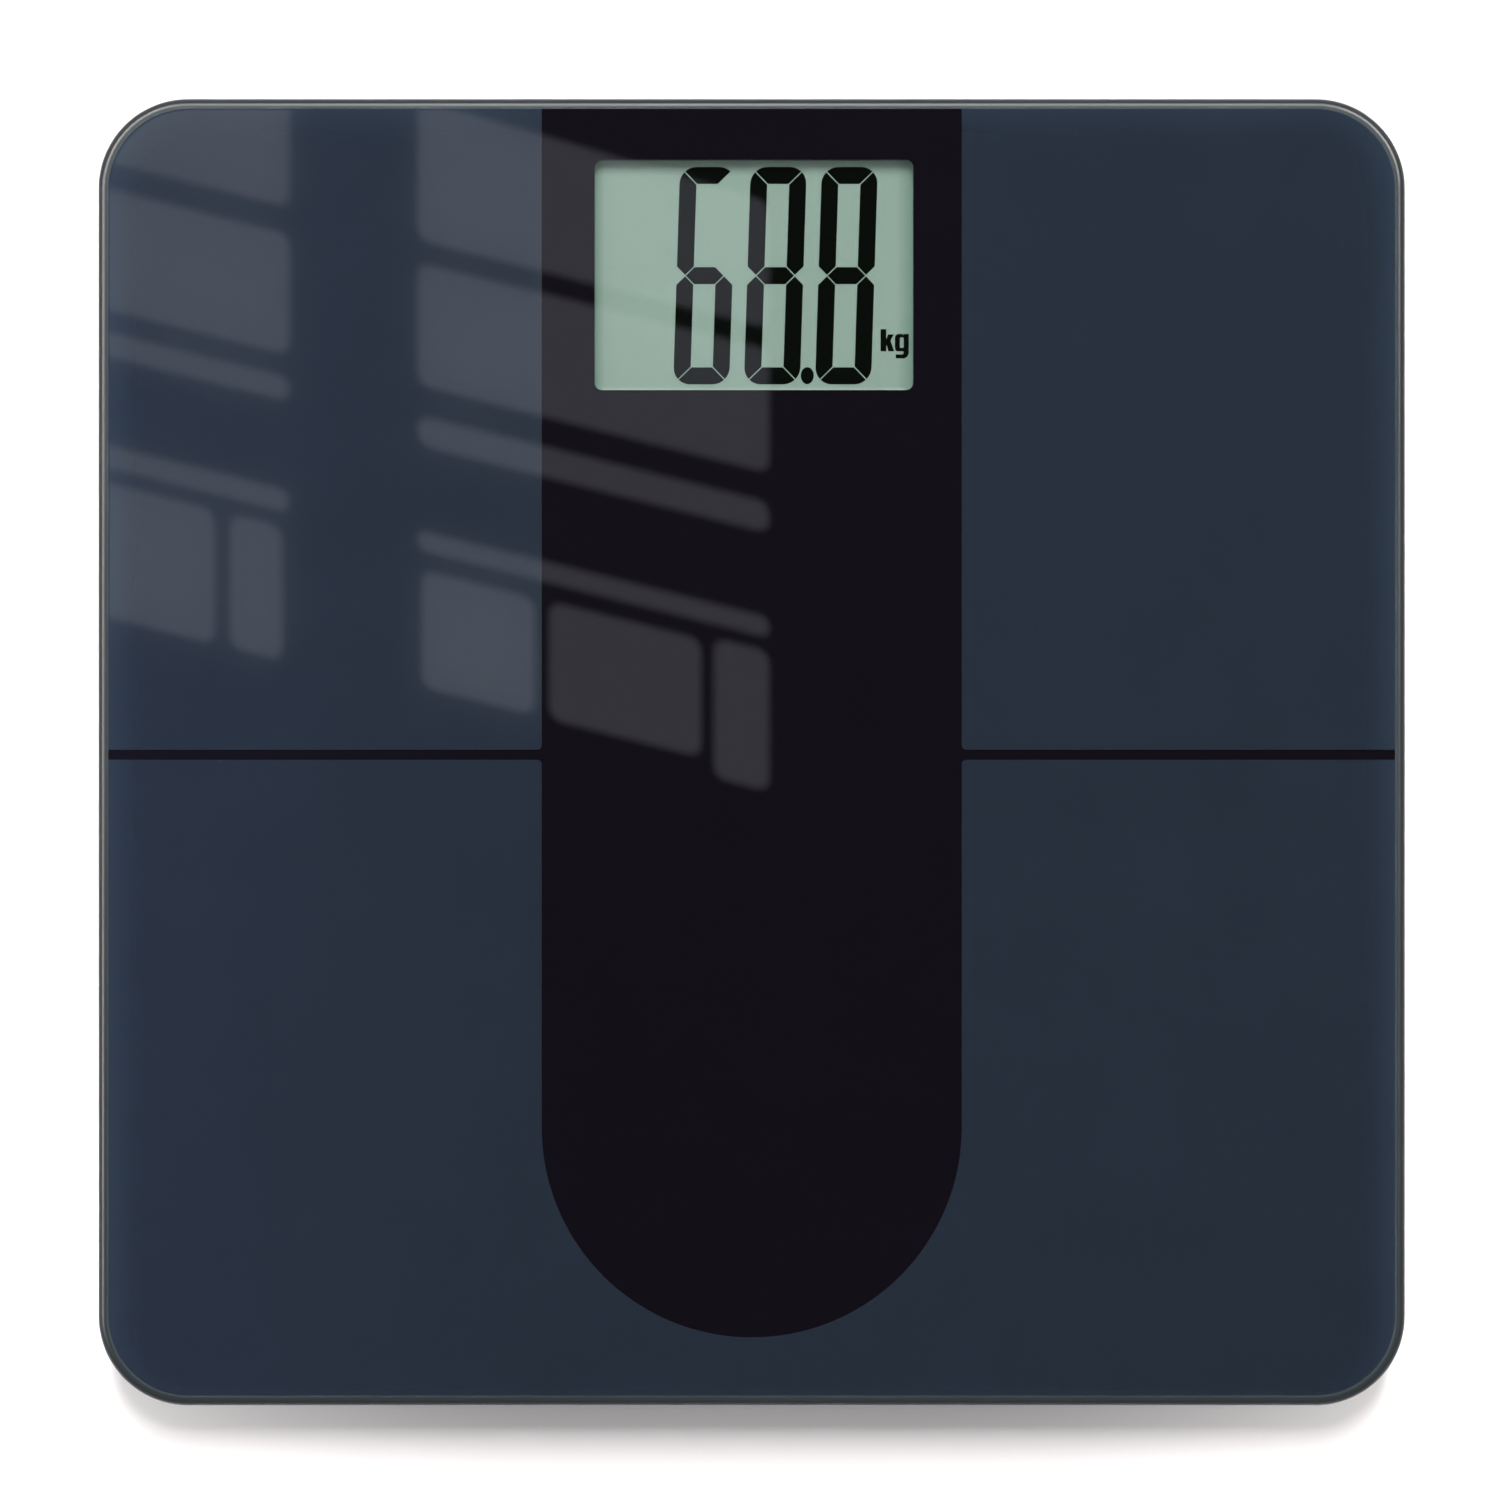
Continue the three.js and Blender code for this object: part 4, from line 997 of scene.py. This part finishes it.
def cell_sign(name, y, towards):
    """A cell's outline; its plus end faces `towards`."""
    door_raised(f"door_cell_{name}", [
        rounded_rect(SIGN_LENGTH, SIGN_HEIGHT, SIGN_OUTER_R, door_x, y, 4),
        rounded_rect(SIGN_LENGTH - 2 * SIGN_LINE, SIGN_HEIGHT - 2 * SIGN_LINE, SIGN_INNER_R,
                     door_x, y, 4)])
    end = door_x + towards * (SIGN_LENGTH / 2 + NUB_LENGTH)
    door_raised(f"door_nub_{name}", [bar(end, y, NUB_LENGTH, NUB_HEIGHT)])
    plus_x = door_x + towards * (SIGN_LENGTH / 2 - MARK_IN)
    quarter = [(MARK_ARM, -MARK_HALF), (MARK_ARM, MARK_HALF), (MARK_HALF, MARK_HALF)]
    plus = []
    for turn in range(4):
        for px, py in quarter:
            for _ in range(turn):
                px, py = -py, px
            plus.append((plus_x + px, y + py))
    door_raised(f"door_plus_{name}", [plus])
    minus_x = door_x - towards * (SIGN_LENGTH / 2 - MARK_IN)
    door_raised(f"door_minus_{name}", [bar(minus_x, y, 2 * MARK_ARM, 2 * MARK_HALF)])


cell_sign("near", 34.2 * MM, -1)
cell_sign("far", 40.6 * MM, 1)
print("door relief done")

# %% [markdown]
# ## Floor, light and camera
#
# The floor is plain and pale. Two long soft boxes stand at the display end, steep enough that the
# scale throws only a short soft shadow towards the heel end. A mirror shows whatever is straight
# above it, so the sky overhead is kept dark and the sides are bright: that is how black glass is
# kept black in a studio.

# %% Floor
FLOOR_HALF = 0.6
FLOOR_COLOUR = (0.875, 0.846, 0.832, 1)


def add_floor():
    """A pale square floor that belongs to the stage."""
    build = bmesh.new()
    corners = [(-1, -1), (1, -1), (1, 1), (-1, 1)]
    build.faces.new([build.verts.new((x * FLOOR_HALF, y * FLOOR_HALF, 0)) for x, y in corners])
    mesh = bpy.data.meshes.new("floor")
    build.to_mesh(mesh)
    build.free()
    floor = bpy.data.objects.new("floor", mesh)
    bpy.context.scene.collection.objects.link(floor)
    material, nodes, links, shader, where = start_material("floor_pale")
    shader.inputs["Base Color"].default_value = FLOOR_COLOUR
    shader.inputs["Roughness"].default_value = 0.9
    shader.inputs["Specular IOR Level"].default_value = 0.1
    mesh.materials.append(material)
    floor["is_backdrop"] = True


add_floor()
print("floor laid")

# %% [markdown]
# The sky is a ramp over height: white at the horizon, dim higher up, brighter again above, and
# almost black straight overhead, where the glass would mirror it. A faint blue glow on the left
# side stands in for a wall that the window lights.

# %% Sky
world = bpy.data.worlds.new("studio_sky")
bpy.context.scene.world = world
world.use_nodes = True
sky_nodes, sky_links = world.node_tree.nodes, world.node_tree.links
sky_where = sky_nodes.new("ShaderNodeTexCoord").outputs["Generated"]
sky_split = sky_nodes.new("ShaderNodeSeparateXYZ")
sky_links.new(sky_where, sky_split.inputs["Vector"])
sky_ramp = sky_nodes.new("ShaderNodeValToRGB")
WALL_GLOW = (0.030, 0.036, 0.080, 1)
GLOW_START, GLOW_FULL = -0.02, -0.10
SKY = [(0.10, 1.03), (0.18, 0.28), (0.50, 0.30), (0.75, 0.75), (0.95, 0.75), (0.985, 0.020)]
sky_stops = sky_ramp.color_ramp.elements
for stop, (height, radiance) in enumerate(SKY):
    point = sky_stops[stop] if stop < 2 else sky_stops.new(height)
    point.position = height
    point.color = (radiance, radiance * 0.99, radiance * 0.985, 1)
sky_links.new(sky_split.outputs["Z"], sky_ramp.inputs["Fac"])
glow_range = sky_nodes.new("ShaderNodeMapRange")
glow_range.interpolation_type = "SMOOTHSTEP"
glow_range.inputs["From Min"].default_value = GLOW_START
glow_range.inputs["From Max"].default_value = GLOW_FULL
sky_links.new(sky_split.outputs["X"], glow_range.inputs["Value"])
wall_glow = sky_nodes.new("ShaderNodeMix")
wall_glow.data_type = "RGBA"
wall_glow.blend_type = "ADD"
wall_glow.inputs[MIX_SECOND].default_value = WALL_GLOW
sky_links.new(glow_range.outputs["Result"], wall_glow.inputs["Factor"])
sky_links.new(sky_ramp.outputs["Color"], wall_glow.inputs[MIX_FIRST])
sky_links.new(wall_glow.outputs[MIX_RESULT], sky_nodes["Background"].inputs["Color"])
print("sky ready")

# %% Soft boxes
BOX_SIZE = (0.30, 1.15)
BOX_X, BOX_Y, BOX_Z = 0.12, 1.37, 2.0


def soft_box(name, side, power):
    """A long soft box that looks at the scale; it isn't seen through the glass."""
    light = bpy.data.lights.new(name, "AREA")
    light.shape = "RECTANGLE"
    light.size, light.size_y = BOX_SIZE
    light.energy = power
    box = bpy.data.objects.new(name, light)
    bpy.context.scene.collection.objects.link(box)
    box.location = (side * BOX_X, BOX_Y, BOX_Z)
    box.rotation_euler = (-box.location).to_track_quat("-Z", "Y").to_euler()
    box.visible_transmission = False


soft_box("soft_box_left", -1, 27.5)
soft_box("soft_box_right", 1, 24.5)
print("soft boxes placed")

# %% [markdown]
# The scale's shadow is darkest in its middle and fades towards both ends. Two spots that light the
# floor only, through light linking, soften the ends without touching the scale.

# %% Floor spots
SPOT_POWER, SPOT_CONE = 21.0, math.radians(23)
SPOT_X, SPOT_Y, SPOT_Z, SPOT_AIM_Y = 0.27, -0.30, 1.0, -0.17


def floor_spot(name, side, floor):
    """A spot over one end of the shadow, linked so that it lights the floor and nothing else."""
    light = bpy.data.lights.new(name, "SPOT")
    light.energy = SPOT_POWER
    light.spot_size = SPOT_CONE
    light.spot_blend = 1.0
    light.shadow_soft_size = 0.05
    spot = bpy.data.objects.new(name, light)
    bpy.context.scene.collection.objects.link(spot)
    spot.location = (side * SPOT_X, SPOT_Y, SPOT_Z)
    aim = Vector((side * SPOT_X, SPOT_AIM_Y, 0)) - spot.location
    spot.rotation_euler = aim.to_track_quat("-Z", "Y").to_euler()
    receivers = bpy.data.collections.new(f"{name}_receivers")
    receivers.objects.link(floor)
    spot.light_linking.receiver_collection = receivers


floor_spot("floor_spot_left", -1, bpy.data.objects["floor"])
floor_spot("floor_spot_right", 1, bpy.data.objects["floor"])
print("floor spots placed")

# %% [markdown]
# The polished corners at the display end pick up two warm cards standing to the left and right of
# the soft boxes, and a smaller card draws a thin line along the left rim. All three are seen in
# reflections only, so they add no light of their own.

# %% Reflector cards
CARD_FAR = 2.5
CARD_STRENGTH = 35.0
CARD_COLOUR = (1.0, 0.94, 0.90, 1)

# Azimuth and elevation in degrees, then width and height in metres.
CARDS = {
    "card_left": (138, 50, 1.7, 0.75),
    "card_right": (42, 50, 1.7, 0.75),
    "card_side": (180, 35, 1.0, 0.5),
}


def reflector_card(name, azimuth, elevation, width, height, material):
    """A glowing card that faces the scale from far off and shows in reflections only."""
    build = bmesh.new()
    corners = [(-1, -1), (1, -1), (1, 1), (-1, 1)]
    build.faces.new([build.verts.new((x * width / 2, y * height / 2, 0)) for x, y in corners])
    mesh = bpy.data.meshes.new(name)
    build.to_mesh(mesh)
    build.free()
    mesh.materials.append(material)
    card = bpy.data.objects.new(name, mesh)
    bpy.context.scene.collection.objects.link(card)
    across, up = math.radians(azimuth), math.radians(elevation)
    place = Vector((math.cos(up) * math.cos(across), math.cos(up) * math.sin(across), math.sin(up)))
    card.location = place * CARD_FAR
    card.rotation_euler = place.to_track_quat("Z", "Y").to_euler()
    card.visible_camera = False
    card.visible_diffuse = False
    card.visible_transmission = False
    card.visible_shadow = False
    card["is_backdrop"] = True


card_light = bpy.data.materials.new("card_light")
card_light.use_nodes = True
card_nodes, card_links = card_light.node_tree.nodes, card_light.node_tree.links
card_nodes.remove(card_nodes["Principled BSDF"])
card_shine = card_nodes.new("ShaderNodeEmission")
card_shine.inputs["Color"].default_value = CARD_COLOUR
card_shine.inputs["Strength"].default_value = CARD_STRENGTH
card_links.new(card_shine.outputs["Emission"], card_nodes["Material Output"].inputs["Surface"])
for name, (azimuth, elevation, width, height) in CARDS.items():
    reflector_card(name, azimuth, elevation, width, height, card_light)
print("cards placed:", len(CARDS))

# %% [markdown]
# A window behind the viewer shows faintly in the glass: two sashes of slanting panes. The panes are
# glowing planes high above the scale, placed by mirror geometry, so that a point of the window lies
# where the eye would see it. They fade at their edges, because the real ones are out of focus.

# %% Window panes
EYE_HEIGHT = 1.62
PANE_HEIGHT = 1.1
MIRROR = 1 + (PANE_HEIGHT - glass_high.z) / (EYE_HEIGHT - glass_high.z)
PANE_SLOPE = -0.25
SLOPE_X = -0.0766
PANE_STRENGTH = 0.42
PANE_COLOUR = (0.87, 0.87, 1.01, 1)
STEEPER_ABOVE, STEEPER_BY = 0.1175, 1.4
PANE_CORNER = 0.003
FEATHER = 0.0022

# Each sash is a pair of sides and its rows of panes from the top down.
LEFT_SASH = ((-0.152, -0.106),
             [(0.150, 0.1175), (0.1115, 0.0836), (0.0786, 0.0729), (0.0526, 0.0474)])
RIGHT_SASH = ((-0.0766, 0.0041),
              [(0.150, 0.1175), (0.1124, 0.0842), (0.0773, 0.0704), (0.0509, 0.0463)])

# The lowest row is split by glazing bars: left, right, top and bottom of each pane.
LOW_PANES = [
    (-0.152, -0.1232, 0.0439, 0.0130),
    (-0.1197, -0.1076, 0.0439, 0.0130),
    (-0.0757, -0.0498, 0.0420, 0.0150),
    (-0.0463, -0.0115, 0.0420, 0.0150),
    (-0.0085, 0.0041, 0.0431, 0.0110),
]


def pane_outline(left, right, top, bottom, inset):
    """A slanting pane with rounded corners; heights are given on the line x = SLOPE_X."""
    width, height = right - left - 2 * inset, top - bottom - 2 * inset
    size = min(PANE_CORNER - inset, width / 2.01, height / 2.01)
    flat = rounded_rect(width, height, size, (left + right) / 2, (top + bottom) / 2, 4)
    points = []
    for x, y in flat:
        slope = PANE_SLOPE - STEEPER_BY * max(0, y - STEEPER_ABOVE)
        points.append((x * MIRROR, (y + (x - SLOPE_X) * slope) * MIRROR))
    return points


def add_pane(number, left, right, top, bottom, material):
    """A pane that glows inside and fades to nothing across its feathered border."""
    build = bmesh.new()
    glow = build.verts.layers.float.new("glow")
    rings = []
    for inset, strength in ((-FEATHER / 2, 0.0), (FEATHER / 2, 1.0)):
        ring = []
        for x, y in pane_outline(left, right, top, bottom, inset):
            vert = build.verts.new((x, y, PANE_HEIGHT))
            vert[glow] = strength
            ring.append(vert)
        rings.append(ring)
    outer, inner = rings
    for i in range(len(outer)):
        j = (i + 1) % len(outer)
        build.faces.new((outer[i], outer[j], inner[j], inner[i]))
    build.faces.new(inner)
    mesh = bpy.data.meshes.new(f"window_pane_{number}")
    build.to_mesh(mesh)
    build.free()
    pane = bpy.data.objects.new(mesh.name, mesh)
    bpy.context.scene.collection.objects.link(pane)
    mesh.materials.append(material)
    pane.visible_camera = False
    pane.visible_diffuse = False
    pane.visible_shadow = False
    pane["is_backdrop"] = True


pane_light = bpy.data.materials.new("window_light")
pane_light.use_nodes = True
pane_nodes, pane_links = pane_light.node_tree.nodes, pane_light.node_tree.links
pane_nodes.remove(pane_nodes["Principled BSDF"])
pane_glow = pane_nodes.new("ShaderNodeAttribute")
pane_glow.attribute_name = "glow"
pane_shine = pane_nodes.new("ShaderNodeEmission")
pane_shine.inputs["Color"].default_value = PANE_COLOUR
pane_clear = pane_nodes.new("ShaderNodeBsdfTransparent")
pane_mix = pane_nodes.new("ShaderNodeMixShader")
pane_shine.inputs["Strength"].default_value = PANE_STRENGTH
pane_links.new(pane_glow.outputs["Fac"], pane_mix.inputs["Fac"])
pane_links.new(pane_clear.outputs["BSDF"], pane_mix.inputs[1])
pane_links.new(pane_shine.outputs["Emission"], pane_mix.inputs[2])
pane_links.new(pane_mix.outputs["Shader"], pane_nodes["Material Output"].inputs["Surface"])

panes = [(*sides, *row) for sides, rows in (LEFT_SASH, RIGHT_SASH) for row in rows] + LOW_PANES
for number, pane in enumerate(panes):
    add_pane(number + 1, *pane, pane_light)
print("window panes:", len(panes))

# %% [markdown]
# The camera looks straight down from high above with a long lens, so that the square stays square.
# It stands a hair off the middle, as a camera on a real stand does.

# %% Camera
VIEW_WIDTH = 0.3441
SENSOR = 36.0
OFF_X, OFF_Y = -0.4 * MM, 0.5 * MM
lens_data = bpy.data.cameras.new("camera")
lens_data.sensor_width = SENSOR
lens_data.lens = SENSOR * (EYE_HEIGHT - glass_high.z) / VIEW_WIDTH
camera = bpy.data.objects.new("camera", lens_data)
bpy.context.scene.collection.objects.link(camera)
camera.location = (OFF_X, OFF_Y, EYE_HEIGHT)
bpy.context.scene.camera = camera
bpy.context.scene.view_settings.view_transform = "Standard"
bpy.context.scene.view_settings.look = "None"
print("lens:", round(lens_data.lens, 1), "mm")

# %% Size of the finished model
low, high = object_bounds()
print("visual box in mm:", [round(v * 1000, 2) for v in high - low])
